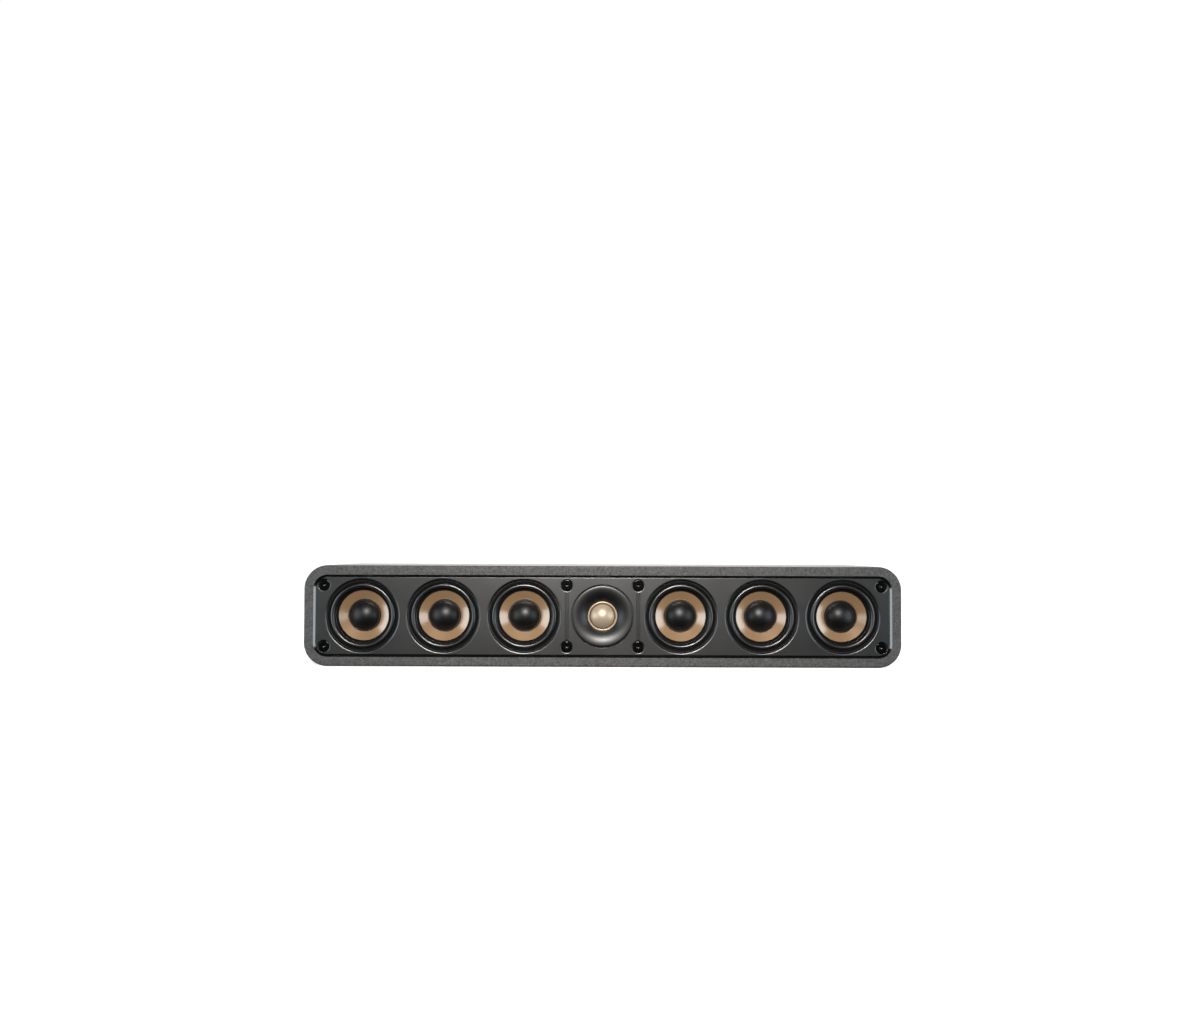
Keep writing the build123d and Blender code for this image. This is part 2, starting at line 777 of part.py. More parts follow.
# Crossover board, screwed flat on the cabinet's floor and drawn lying, z up
board_screw_x = board_width / 2 - wood_screw_head
board_screw_y = board_height / 2 - wood_screw_head
board_screw_places = [
    (x, y) for x in (-board_screw_x, board_screw_x) for y in (-board_screw_y, board_screw_y)
]
board_screw_length = board_thickness + wall - blind_skin
board_screw_hole = Rot(180, 0, 0) * wood_screw(board_screw_length, screw_clear)
board_screw_holes = spread(board_screw_hole, board_screw_places, board_thickness)
board_screw = Rot(180, 0, 0) * wood_screw(board_screw_length)
inductor_x = inductor_radius + component_gap / 2
inductor_y = -inductor_radius - component_gap / 2
inductor = tube(inductor_radius, inductor_bore, 0, inductor_height)
capacitor = Rot(0, 90, 0) * Cylinder(capacitor_radius, capacitor_length)
capacitor_pitch = 2 * capacitor_radius + component_gap
capacitor_places = [(0, capacitor_pitch / 2), (0, 3 * capacitor_pitch / 2)]
lay = Pos(0, wall - half_height, brace_z) * Rot(-90, 0, 0)
crossover_board = lay * (
    block(Rectangle(board_width, board_height), 0, board_thickness) - board_screw_holes
)
crossover_coils = [
    lay * coil
    for coil in spread(inductor, [(-inductor_x, inductor_y), (inductor_x, inductor_y)], board_thickness)
]
crossover_capacitors = [
    lay * can for can in spread(capacitor, capacitor_places, board_thickness + capacitor_radius)
]
cabinet_sleeve -= [lay * hole for hole in board_screw_holes]

# Flat-headed screws of the cup, the hangers and the crossover board
wood_screws = spread(wood_screw(rear_screw_length), cup_screw_places + hanger_screw_places, rear_z)
wood_screws += [lay * screw for screw in spread(board_screw, board_screw_places, board_thickness)]

# Rear panel with its cut-outs, recesses and screw holes
rear_panel = block(outline(wall - rebate + board_clear), rear_z, rear_inner_z)
cup_recess = RectangleRounded(
    cup_rim_width + 2 * board_clear, cup_rim_height + 2 * board_clear, cup_corner + board_clear
)
cup_hole = RectangleRounded(
    cup_width + 2 * (cup_wall + board_clear),
    cup_height + 2 * (cup_wall + board_clear),
    cup_corner + cup_wall + board_clear,
)
rear_panel -= block(cup_recess, rear_z, rear_z + cup_flange_thickness)
rear_panel -= block(cup_hole, rear_z, rear_inner_z)
port_seat = turned(
    run(
        (0, 0),
        (port_rim + board_clear, 0),
        (port_rim + board_clear, port_flange_thickness),
        (port_outer + board_clear, port_flare + board_clear),
        (port_outer + board_clear, rear_thickness),
        (0, rear_thickness),
        (0, 0),
    )
)
rear_panel -= spread(port_seat, port_places, rear_z)
hanger_recess = RectangleRounded(
    hanger_width + 2 * board_clear, hanger_length + 2 * board_clear, hanger_corner + board_clear
)
head_room = keyhole_radius + hanger_margin
head_pocket = Circle(head_room) + Pos(0, keyhole_rise) * Circle(head_room)
head_pocket += Pos(0, keyhole_rise / 2) * Rectangle(2 * head_room, keyhole_rise)
hanger_seat = block(hanger_recess, 0, hanger_thickness)
hanger_seat += block(head_pocket, hanger_thickness, rear_thickness - hanger_skin)
rear_panel -= spread(hanger_seat, hanger_places, rear_z)
rear_panel -= spread(rear_screw_hole, cup_screw_places + hanger_screw_places, rear_z)

# Node names and their pieces
pieces = {
    "cabinet_sleeve": [cabinet_sleeve],
    "front_bezel": [front_bezel],
    "sub_baffle": [sub_baffle],
    "rear_panel": [rear_panel],
    "cabinet_braces": cabinet_braces,
    "left_panel": [left_panel],
    "center_panel": [center_panel],
    "right_panel": [right_panel],
    "panel_screws": panel_screws,
    "woofer_screws": woofer_screws,
    "woofer_spiders": woofer_spiders,
    "motor_top_plates": motor_top_plates,
    "motor_magnets": motor_magnets,
    "motor_yokes": motor_yokes,
    "tweeter_faceplate": [Pos(0, 0, baffle_z) * tweeter_faceplate()],
    "tweeter_dome": [Pos(0, 0, baffle_z) * tweeter_dome()],
    "tweeter_voice_coil": [Pos(0, 0, baffle_z) * tweeter_voice_coil()],
    "terminal_cup": [terminal_cup],
    "binding_posts": binding_posts,
    "black_clamp_washer": [clamp_washers[0]],
    "red_clamp_washer": [clamp_washers[1]],
    "black_cap": [terminal_caps[0]],
    "red_cap": [terminal_caps[1]],
    "reflex_ports": reflex_ports,
    "keyhole_plates": keyhole_plates,
    "wood_screws": wood_screws,
    "crossover_board": [crossover_board],
    "crossover_coils": crossover_coils,
    "crossover_capacitors": crossover_capacitors,
}
woofer_pieces = {
    "basket": baskets,
    "surround": surrounds,
    "cone": cones,
    "dust_cap": dust_caps,
    "voice_coil": voice_coils,
}
for name, row in woofer_pieces.items():
    for number, piece in enumerate(row, start=1):
        pieces[f"woofer_{number}_{name}"] = [piece]

# Stand each node up on its base, facing -Y, and write it
stand = Pos(0, 0, half_height) * Rot(90, 0, 0)
os.makedirs("parts", exist_ok=True)
for name, solids in pieces.items():
    node = [stand * solid for solid in solids]
    export_step(node[0] if len(node) == 1 else Compound(children=node), f"parts/{name}.step")
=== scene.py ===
"""Looks of a slim center channel speaker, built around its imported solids.

The pieces that show are modelled here over the solids that they stand for, and every
other solid is given its finish. All sizes are in metres, with the front facing -Y.
"""

import math

import bpy
from mathutils import Matrix, Vector


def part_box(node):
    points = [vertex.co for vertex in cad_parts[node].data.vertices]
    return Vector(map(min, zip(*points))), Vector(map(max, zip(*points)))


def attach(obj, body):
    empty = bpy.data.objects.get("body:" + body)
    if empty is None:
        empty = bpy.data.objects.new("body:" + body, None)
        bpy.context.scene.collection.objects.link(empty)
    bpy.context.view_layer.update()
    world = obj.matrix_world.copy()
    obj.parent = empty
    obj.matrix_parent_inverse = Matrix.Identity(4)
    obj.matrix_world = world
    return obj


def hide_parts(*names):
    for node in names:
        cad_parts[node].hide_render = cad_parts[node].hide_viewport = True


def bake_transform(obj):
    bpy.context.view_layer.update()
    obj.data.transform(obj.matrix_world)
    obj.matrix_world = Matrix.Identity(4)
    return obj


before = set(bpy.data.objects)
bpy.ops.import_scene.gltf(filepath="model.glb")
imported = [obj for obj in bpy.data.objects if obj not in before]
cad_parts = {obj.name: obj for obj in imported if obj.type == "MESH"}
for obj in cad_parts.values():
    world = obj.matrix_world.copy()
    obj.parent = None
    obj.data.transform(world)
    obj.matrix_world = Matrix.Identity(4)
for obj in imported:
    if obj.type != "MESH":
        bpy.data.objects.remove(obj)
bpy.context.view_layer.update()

bl_info = {
    "name": "Center Channel Speaker",
    "version": (1, 0, 0),
    "blender": (4, 5, 0),
    "location": "View3D > Sidebar > Speaker",
    "description": "Builds the looks of a slim center channel speaker around its solids",
    "category": "Object",
}

MM = 0.001
CABINET = "cabinet"
WOOFERS = range(1, 7)
RING_STEPS = 96
SMOOTH_ANGLE = math.radians(27)
JOIN_DISTANCE = 1e-6
# Radius of the small ring that closes a turned piece on its axis
CROWN = 0.2 * MM


def span(solid, axis):
    """The low and high end of a solid along an axis."""
    low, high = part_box(solid)
    return low[axis], high[axis]


def middle(solid):
    """The middle of a solid's box."""
    low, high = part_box(solid)
    return (low + high) / 2


HALF_WIDTH = span("cabinet_sleeve", 0)[1]
HEIGHT = span("cabinet_sleeve", 2)[1]
MID_HEIGHT = HEIGHT / 2
FRONT, BAFFLE = span("front_bezel", 1)
REAR = span("rear_panel", 1)[1]
PANEL_FRONT = span("left_panel", 1)[0]
SCREW_SEAT = PANEL_FRONT + 3.6 * MM
SEAM_HALF_GAP = 0.1 * MM
SEAM = span("center_panel", 0)[1] + SEAM_HALF_GAP
WOOFER_X = [middle(f"woofer_{k}_cone").x for k in WOOFERS]
# Front of the flanges on the baffle, and the rim and slope of the cones
FLANGE = BAFFLE - 3.2 * MM
CONE_RIM = BAFFLE + 1.2 * MM
CONE_SLOPE = math.tan(math.radians(30))


# Properties


def distance(name, description, value):
    """A length property."""
    return bpy.props.FloatProperty(
        name=name, description=description, default=value, subtype="DISTANCE", unit="LENGTH"
    )


def colour(name, description, value):
    """A colour property."""
    return bpy.props.FloatVectorProperty(
        name=name, description=description, default=value, subtype="COLOR", size=3, min=0, max=1
    )


def watts(name, description, value):
    """A light's power, in watts."""
    return bpy.props.FloatProperty(
        name=name, description=description, default=value, min=0, unit="POWER"
    )


class SpeakerSizes(bpy.types.PropertyGroup):
    """Sizes of the pieces that are modelled here."""

    corner: distance("Cabinet Corner", "Radius of the cabinet's four long corners", 24.0 * MM)
    wall: distance("Cabinet Wall", "Thickness of the cabinet's wall", 9.0 * MM)
    rebate: distance("Board Rebate", "Step in the wall's ends that the boards sit in", 4.0 * MM)
    band: distance("Frame Band", "Width of the flat band round the front", 9.6 * MM)
    bevel: distance("Frame Bevel", "Width and depth of the bevel inside the band", 2.0 * MM)
    opening: distance("Woofer Opening", "Radius of the panels' woofer openings", 36.6 * MM)
    opening_round: distance("Opening Rounding", "Rounding of the woofer openings' edge", 2.1 * MM)
    tweeter_opening: distance("Tweeter Opening", "Radius of the tweeter's opening", 32.5 * MM)
    tweeter_rim: distance("Tweeter Rim", "Radius of the tweeter faceplate's rim", 31.0 * MM)
    dome_height: distance("Tweeter Dome Height", "Height of the tweeter's dome", 7.2 * MM)
    screw_sink: distance("Screw Recess", "Radius of the panel screws' recesses", 6.2 * MM)
    screw_head: distance("Screw Head", "Radius of the panel screws' heads", 5.8 * MM)
    cone: distance("Cone Radius", "Radius of a cone where the surround's lip begins", 25.7 * MM)
    cap: distance("Dust Cap Radius", "Radius of a dust cap's skirt", 16.8 * MM)
    cap_height: distance("Dust Cap Height", "Height of a dust cap's dome", 7.0 * MM)
    roll: distance("Surround Roll", "Radius of a surround's half roll", 2.3 * MM)


class SpeakerColours(bpy.types.PropertyGroup):
    """Colours of the finishes."""

    band: colour("Frame Grey", "Textured band round the front", (0.078, 0.0765, 0.075))
    panel: colour("Panel Black", "Satin front panels", (0.002, 0.002, 0.002))
    cone: colour("Cone Champagne", "Woofer cones", (0.4, 0.237, 0.12))
    dome: colour("Dome Champagne", "Tweeter dome", (0.56, 0.44, 0.315))
    # Painted shade: this dark brown stands in for the shade in the groove round the tweeter dome
    groove: colour("Groove Brown", "Groove round the tweeter dome", (0.2, 0.115, 0.055))
    rubber: colour("Rubber Black", "Surrounds", (0.003, 0.003, 0.003))
    wrap: colour("Cabinet Black", "Cabinet's vinyl wrap", (0.02, 0.02, 0.02))
    red: colour("Terminal Red", "Cap of the red terminal", (0.42, 0.012, 0.01))
    gold: colour("Terminal Gold", "Posts and washers", (0.75, 0.5, 0.18))
    board: colour("Fibreboard", "Bare boards", (0.33, 0.22, 0.13))
    copper: colour("Copper", "Windings", (0.62, 0.27, 0.12))


class StageSettings(bpy.types.PropertyGroup):
    """Camera and lights."""

    camera_distance: distance("Camera Distance", "From the camera to the front", 1.15)
    camera_height: distance("Camera Height", "Height of the camera above the floor", 0.1195)
    view_width: distance("View Width", "Width that the picture takes in at the front", 1.227)
    aim: bpy.props.FloatVectorProperty(
        name="Aim",
        description="The picture's middle at the front, across and up",
        default=(-0.0029, 0.1582),
        size=2,
        subtype="XYZ",
        unit="LENGTH",
    )
    roll: bpy.props.FloatProperty(
        name="Camera Roll",
        description="Lean of the camera",
        default=math.radians(0.19),
        subtype="ANGLE",
        unit="ROTATION",
    )
    main_power: watts("Main Light", "Power of the main light", 2.3)
    side_power: watts("Side Lights", "Power of each side light", 3.6)
    back_power: watts("Back Light", "Power of the light behind", 20.0)


def sizes():
    return bpy.context.scene.speaker_sizes


def colours():
    return bpy.context.scene.speaker_colours


# Modelling helpers


def deselect():
    """Leave edit mode and let go of everything."""
    if bpy.context.object and bpy.context.object.mode != "OBJECT":
        bpy.ops.object.mode_set(mode="OBJECT")
    bpy.ops.object.select_all(action="DESELECT")


def activate(piece):
    """Make a piece the only one that operators act on."""
    deselect()
    piece.select_set(True)
    bpy.context.view_layer.objects.active = piece


def edit(piece, kind="VERT"):
    """Enter edit mode on a piece with nothing picked."""
    activate(piece)
    bpy.ops.object.mode_set(mode="EDIT")
    bpy.ops.mesh.select_mode(type=kind)
    bpy.ops.mesh.select_all(action="DESELECT")


def pick(piece, kind, test):
    """Pick the faces or edges of a piece whose points all pass a test."""
    edit(piece, kind)
    bpy.ops.object.mode_set(mode="OBJECT")
    points = piece.data.vertices
    for row in {"FACE": piece.data.polygons, "EDGE": piece.data.edges}[kind]:
        row.select = all(test(points[i].co) for i in row.vertices)
    bpy.ops.object.mode_set(mode="EDIT")


def near(value, place):
    """True if two lengths agree to a hundredth of a millimetre."""
    return abs(value - place) < 0.01 * MM


def tidy(piece):
    """Merge doubles and turn all faces outwards."""
    edit(piece)
    bpy.ops.mesh.select_all(action="SELECT")
    bpy.ops.mesh.remove_doubles(threshold=JOIN_DISTANCE)
    bpy.ops.mesh.normals_make_consistent(inside=False)
    bpy.ops.object.mode_set(mode="OBJECT")


def modify(piece, kind, **values):
    """Add a modifier with its values set, and apply it."""
    activate(piece)
    bpy.ops.object.modifier_add(type=kind)
    modifier = piece.modifiers[-1]
    for name, value in values.items():
        setattr(modifier, name, value)
    bpy.ops.object.modifier_apply(modifier=modifier.name)


def placed(name):
    """The object that was just added, named and with its transform applied."""
    bpy.ops.object.transform_apply(location=True, rotation=True, scale=True)
    bpy.context.object.name = name
    return bpy.context.object


def slab(name, low, high):
    """A block between two corners."""
    deselect()
    low, high = Vector(low), Vector(high)
    bpy.ops.mesh.primitive_cube_add(size=1, location=(low + high) / 2, scale=high - low)
    return placed(name)


def turned(name, centre, profile, steps=RING_STEPS, loop=False):
    """A round piece: a circle drawn along a profile of (radius, y) places, ring after ring."""
    deselect()
    x, z = centre
    radius, y = profile[0]
    bpy.ops.mesh.primitive_circle_add(
        vertices=steps, radius=radius, location=(x, y, z), rotation=(math.pi / 2, 0, 0)
    )
    piece = placed(name)
    bpy.ops.object.mode_set(mode="EDIT")
    bpy.ops.mesh.select_all(action="SELECT")
    for next_radius, next_y in profile[1:]:
        bpy.ops.mesh.extrude_edges_move(TRANSFORM_OT_translate={"value": (0, next_y - y, 0)})
        share = next_radius / radius
        bpy.ops.transform.resize(value=(share, 1, share), center_override=(x, next_y, z))
        radius, y = next_radius, next_y
    bpy.ops.mesh.select_all(action="SELECT")
    bpy.ops.mesh.remove_doubles(threshold=JOIN_DISTANCE)
    if not loop:
        bpy.ops.mesh.fill_holes(sides=0)
    tidy(piece)
    return piece


def bow(centre, radius, start, end, steps):
    """Places on an arc of a profile; degrees are counted from outwards to the front."""
    turns = [math.radians(start + (end - start) * step / steps) for step in range(steps + 1)]
    return [
        (centre[0] + radius * math.cos(turn), centre[1] - radius * math.sin(turn)) for turn in turns
    ]


def arc(run, rise):
    """Radius and sweep in degrees of an arc that starts level and rises over a run."""
    radius = (run**2 + rise**2) / (2 * rise)
    return radius, math.degrees(math.asin(min(1, run / radius)))


def dome(base, height, y, steps):
    """Places on a dome from its crown out to its base, which lies at y."""
    radius, sweep = arc(base, height)
    places = bow((0, y - height + radius), radius, 90, 90 - sweep, steps)
    return [(max(place, CROWN), depth) for place, depth in places]


def copy_to(piece, name, offset, tilt=0):
    """A copy of a piece with a mesh of its own, tilted about the x axis and moved by an offset."""
    activate(piece)
    bpy.ops.object.duplicate()
    bpy.context.object.rotation_euler.x = tilt
    bpy.ops.transform.translate(value=offset)
    return placed(name)


def joined(pieces, name="tools"):
    """Several pieces made one."""
    deselect()
    for piece in pieces:
        piece.select_set(True)
    bpy.context.view_layer.objects.active = pieces[0]
    bpy.ops.object.join()
    pieces[0].name = name
    return pieces[0]


def carve(piece, tool, operation="DIFFERENCE"):
    """Cut a tool out of a piece, or add it, and put the tool away."""
    modify(piece, "BOOLEAN", operation=operation, solver="EXACT", object=tool)
    bpy.data.objects.remove(tool)
    if not piece.data.polygons:
        raise RuntimeError(f"Nothing is left of {piece.name}")


def round_edges(piece, test, offset, segments):
    """Round the edges of a piece whose points pass a test."""
    pick(piece, "EDGE", test)
    bpy.ops.mesh.bevel(offset=offset, segments=segments, affect="EDGES")
    bpy.ops.object.mode_set(mode="OBJECT")


def round_long_edges(piece, half, radius, segments):
    """Round the four long corners of a block."""
    edit(piece, "EDGE")
    bpy.ops.object.mode_set(mode="OBJECT")
    points = piece.data.vertices
    low = min(point.co.z for point in points)
    high = max(point.co.z for point in points)
    for edge in piece.data.edges:
        a, b = (points[i].co for i in edge.vertices)
        along = abs(a.x - b.x) < JOIN_DISTANCE and abs(a.z - b.z) < JOIN_DISTANCE
        corner = near(abs(a.x), half) and (near(a.z, low) or near(a.z, high))
        edge.select = along and corner
    bpy.ops.object.mode_set(mode="EDIT")
    bpy.ops.mesh.bevel(offset=radius, segments=segments, affect="EDGES")
    bpy.ops.object.mode_set(mode="OBJECT")


def widen_end(piece, y, centre, half, growth):
    """Widen the end of a block at y by a growth on every side, about its (x, z) centre."""
    pick(piece, "FACE", lambda p: near(p.y, y))
    across, up = ((length + growth) / length for length in half)
    bpy.ops.transform.resize(value=(across, 1, up), center_override=(centre[0], y, centre[1]))
    bpy.ops.object.mode_set(mode="OBJECT")


def dress(piece, finish_name, solid, body=CABINET):
    """Shade a piece, give it its finish, hide the solid that it stands for and put it in its body."""
    activate(piece)
    bpy.ops.object.shade_smooth_by_angle(angle=SMOOTH_ANGLE)
    modify(piece, "WEIGHTED_NORMAL", keep_sharp=True)
    piece.data.materials.clear()
    piece.data.materials.append(finish(finish_name))
    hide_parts(solid)
    if body:
        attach(piece, body)


# Finishes

GROUPS = {}
FINISHES = {}


def node(tree, kind, links=None, **values):
    """A node with its values set and its inputs linked."""
    made = tree.nodes.new(kind)
    for name, value in values.items():
        setattr(made, name, value)
    for name, source in (links or {}).items():
        feed(tree, source, made.inputs[name])
    return made


def feed(tree, source, target):
    """Link a socket to an input, or set the input to a plain value."""
    if isinstance(source, bpy.types.NodeSocket):
        tree.links.new(source, target)
    else:
        target.default_value = source


def math_node(tree, operation, *values):
    links = dict(enumerate(values))
    return node(tree, "ShaderNodeMath", links, operation=operation).outputs[0]


def noise(tree, place, scale, detail, roughness=0.5):
    """Soft noise between 0 and 1."""
    links = {"Vector": place, "Scale": scale, "Detail": detail, "Roughness": roughness}
    return node(tree, "ShaderNodeTexNoise", links).outputs["Fac"]


def shifted(tree, tone, swing, amount):
    """A colour made lighter or darker by an amount of a swing round 0."""
    share = math_node(tree, "MULTIPLY_ADD", swing, amount, 1.0)
    return node(tree, "ShaderNodeVectorMath", {0: tone, 1: share}, operation="MULTIPLY").outputs[0]


def reach(tree, vector):
    """The length of a vector."""
    return node(tree, "ShaderNodeVectorMath", {0: vector}, operation="LENGTH").outputs["Value"]


def blended(tree, factor, first, second):
    """A colour between two."""
    links = {"Factor": factor, 6: first, 7: second}
    return node(tree, "ShaderNodeMix", links, data_type="RGBA").outputs[2]


def eased(tree, value, low, high, first=0.0, last=1.0):
    """A smooth step from a first to a last value while another goes from low to high."""
    links = {"Value": value, "From Min": low, "From Max": high, "To Min": first, "To Max": last}
    return node(tree, "ShaderNodeMapRange", links, interpolation_type="SMOOTHSTEP").outputs["Result"]


def own_place(tree):
    """The place of a point in the object's own space."""
    return tree.nodes.new("ShaderNodeTexCoord").outputs["Object"]


def own_axes(tree):
    """The same place, parted into X, Y and Z."""
    return node(tree, "ShaderNodeSeparateXYZ", {0: own_place(tree)}).outputs


def new_group(name, inputs, outputs):
    """A new node group with these sockets, and what its inputs give."""
    group = bpy.data.node_groups.new(name, "ShaderNodeTree")
    rows = [("INPUT", key, value) for key, value in inputs.items()]
    rows += [("OUTPUT", key, None) for key in outputs]
    for direction, key, value in rows:
        kind = "NodeSocketColor" if key == "Colour" else "NodeSocketFloat"
        made = group.interface.new_socket(name=key, in_out=direction, socket_type=kind)
        if value is not None:
            made.default_value = value
    GROUPS[name] = group
    return group, group.nodes.new("NodeGroupInput").outputs


def give(group, **results):
    """Link a group's results to its outputs."""
    out = group.nodes.new("NodeGroupOutput").inputs
    for name, source in results.items():
        group.links.new(source, out[name.title()])


def make_grain():
    """Fine pebbled grain: a shifted colour and a height."""
    inputs = {"Colour": None, "Size": 900.0, "Contrast": 0.3}
    group, given = new_group("Fine Grain", inputs, ("Colour", "Height"))
    place = own_place(group)
    fine = noise(group, place, given["Size"], 2.0, 0.6)
    wide = math_node(group, "MULTIPLY", given["Size"], 0.27)
    height = math_node(group, "MULTIPLY_ADD", noise(group, place, wide, 3.0), 0.3, fine)
    swing = math_node(group, "SUBTRACT", height, 0.65)
    tone = shifted(group, given["Colour"], swing, given["Contrast"])
    give(group, colour=tone, height=height)


def make_rings():
    """Rings round the nearest centre in a row of round pieces."""
    # The default pitch, in metres, is so wide that there is one centre only
    inputs = {"First Centre": 0.0, "Pitch": 10.0, "Mid Height": MID_HEIGHT, "Rings": 2500.0}
    group, given = new_group("Turned Rings", inputs, ("Radius", "Height"))
    axes = own_axes(group)
    side = math_node(group, "ABSOLUTE", axes["X"])
    along = math_node(group, "SUBTRACT", side, given["First Centre"])
    half = math_node(group, "MULTIPLY", given["Pitch"], 0.5)
    back = math_node(group, "MULTIPLY", half, -1.0)
    offset = math_node(group, "WRAP", along, half, back)
    rise = math_node(group, "SUBTRACT", axes["Z"], given["Mid Height"])
    flat = node(group, "ShaderNodeCombineXYZ", {"X": offset, "Y": rise}).outputs[0]
    radius = reach(group, flat)
    lap = math_node(group, "MULTIPLY", radius, given["Rings"])
    links = {"W": lap, "Scale": 1.0, "Detail": 2.0}
    wobble = node(group, "ShaderNodeTexNoise", links, noise_dimensions="1D").outputs["Fac"]
    give(group, radius=radius, height=wobble)


def make_handling():
    """Faint marks of handling and dust: a shifted colour and roughness."""
    inputs = {"Colour": None, "Roughness": 0.4, "Amount": 0.1}
    group, given = new_group("Handling", inputs, ("Colour", "Roughness"))
    place = own_place(group)
    cloud, speck = noise(group, place, 38.0, 4.0), noise(group, place, 1400.0, 1.0)
    both = math_node(group, "MULTIPLY_ADD", speck, 0.5, cloud)
    swing = math_node(group, "SUBTRACT", both, 0.75)
    rough = math_node(group, "MULTIPLY_ADD", swing, given["Amount"], given["Roughness"])
    tone = shifted(group, given["Colour"], swing, given["Amount"])
    give(group, colour=tone, roughness=rough)


def make_inset():
    """How far in from the cabinet's rounded outline a point lies."""
    inputs = {"Half Width": HALF_WIDTH, "Half Height": MID_HEIGHT, "Corner": 24.0 * MM}
    group, given = new_group("Frame Inset", inputs, ("Inset",))
    axes = own_axes(group)
    rise = math_node(group, "SUBTRACT", axes["Z"], given["Half Height"])
    past = []
    for offset, half in ((axes["X"], given["Half Width"]), (rise, given["Half Height"])):
        straight = math_node(group, "SUBTRACT", half, given["Corner"])
        past.append(math_node(group, "SUBTRACT", math_node(group, "ABSOLUTE", offset), straight))
    round_x, round_z = (math_node(group, "MAXIMUM", value, 0.0) for value in past)
    corner = node(group, "ShaderNodeCombineXYZ", {"X": round_x, "Y": round_z}).outputs[0]
    inner = math_node(group, "MINIMUM", math_node(group, "MAXIMUM", *past), 0.0)
    depth = math_node(group, "ADD", reach(group, corner), inner)
    give(group, inset=math_node(group, "SUBTRACT", given["Corner"], depth))


def grouped(tree, name, **links):
    """Place a node group in a material, with its inputs by name."""
    made = node(tree, "ShaderNodeGroup", node_tree=GROUPS[name])
    for key, source in links.items():
        feed(tree, source, made.inputs[key.replace("_", " ").title()])
    return made.outputs


def blank(name, **values):
    """A material with its Principled shader's plain values set."""
    material = bpy.data.materials.new(name)
    material.use_nodes = True
    shader = material.node_tree.nodes["Principled BSDF"].inputs
    for key, value in values.items():
        shader[key.replace("_", " ").title().replace("Ior", "IOR")].default_value = value
    return material, material.node_tree, shader


def grey(level):
    return (level, level, level)


def rgba(value):
    return (*value, 1.0)


def handled(tree, shader, tone, roughness, marks=0.06):
    """Feed a colour and a roughness to a shader, with faint marks of handling."""
    worn = grouped(tree, "Handling", colour=tone, roughness=roughness, amount=marks)
    tree.links.new(worn["Colour"], shader["Base Color"])
    tree.links.new(worn["Roughness"], shader["Roughness"])


def raised(tree, shader, height, strength, depth):
    """Feed a height, at its depth in millimetres, to a shader's normal."""
    links = {"Height": height, "Strength": strength, "Distance": depth * MM}
    tree.links.new(node(tree, "ShaderNodeBump", links).outputs["Normal"], shader["Normal"])


def grained(name, value, size, contrast, roughness, depth, specular=0.5, metallic=0.0, marks=0.06):
    """A finish with a fine pebbled grain and faint handling."""
    material, tree, shader = blank(name, metallic=metallic, specular_ior_level=specular)
    grain = grouped(tree, "Fine Grain", colour=rgba(value), size=size, contrast=contrast)
    handled(tree, shader, grain["Colour"], roughness, marks)
    raised(tree, shader, grain["Height"], 0.5, depth)
    return material


def woofer_rings(tree, rings):
    """Rings round the nearest woofer, in steps from the first one right of the tweeter."""
    pitch = WOOFER_X[4] - WOOFER_X[3]
    return grouped(tree, "Turned Rings", first_centre=WOOFER_X[3], pitch=pitch, rings=rings)


def ringed(name, value, roughness, rings, depth, **values):
    """A finish with fine rings round the middle of each woofer."""
    material, tree, shader = blank(name, coat_roughness=0.21, coat_ior=2.2, **values)
    turns = woofer_rings(tree, rings)
    swing = math_node(tree, "SUBTRACT", turns["Height"], 0.5)
    handled(tree, shader, shifted(tree, value, swing, 0.1), roughness, 0.08)
    raised(tree, shader, turns["Height"], 0.4, depth)
    return material


def panel_finish():
    """Satin black, a little smoother along the floor of the two seams' channels."""
    material, tree, shader = blank("Panel Satin", specular_ior_level=1.0, ior=1.6)
    side = math_node(tree, "ABSOLUTE", own_axes(tree)["X"])
    channel = math_node(tree, "COMPARE", side, SEAM, 1.4 * MM)
    rough = math_node(tree, "MULTIPLY_ADD", channel, -0.03, 0.33)
    grain = grouped(tree, "Fine Grain", colour=rgba(colours().panel), size=1600.0, contrast=0.15)
    handled(tree, shader, grain["Colour"], rough)
    raised(tree, shader, grain["Height"], 0.5, 0.002)
    return material


def rubber_finish():
    """Satin rubber on the roll, and matt black foam on the gasket round it."""
    material, tree, shader = blank(
        "Surround Rubber", specular_ior_level=0.1, coat_roughness=0.3, coat_ior=1.8
    )
    crest, half_width = 30.9 * MM, 2.55 * MM
    turns = woofer_rings(tree, 900.0)
    handled(tree, shader, rgba(colours().rubber), 0.7, 0.2)
    tree.links.new(math_node(tree, "COMPARE", turns["Radius"], crest, half_width), shader["Coat Weight"])
    raised(tree, shader, turns["Height"], 0.3, 0.006)
    return material


def dome_finish():
    """Satin champagne, with painted shade: a darker brown colour in the groove where the dome meets its
    half roll.
    """
    material, tree, shader = blank(
        "Dome Champagne", metallic=0.45, coat_weight=0.35, coat_roughness=0.22
    )
    groove_shade_radius = 12.7 * MM
    turns = grouped(tree, "Turned Rings", rings=1500.0)
    away = math_node(tree, "SUBTRACT", turns["Radius"], groove_shade_radius)
    clear = eased(tree, math_node(tree, "ABSOLUTE", away), 0.2 * MM, 1.2 * MM)
    # Painted shade: the colour turns dark brown in a narrow band at the groove's radius
    tone = blended(tree, clear, rgba(colours().groove), rgba(colours().dome))
    handled(tree, shader, tone, 0.42)
    raised(tree, shader, turns["Height"], 0.3, 0.003)
    return material


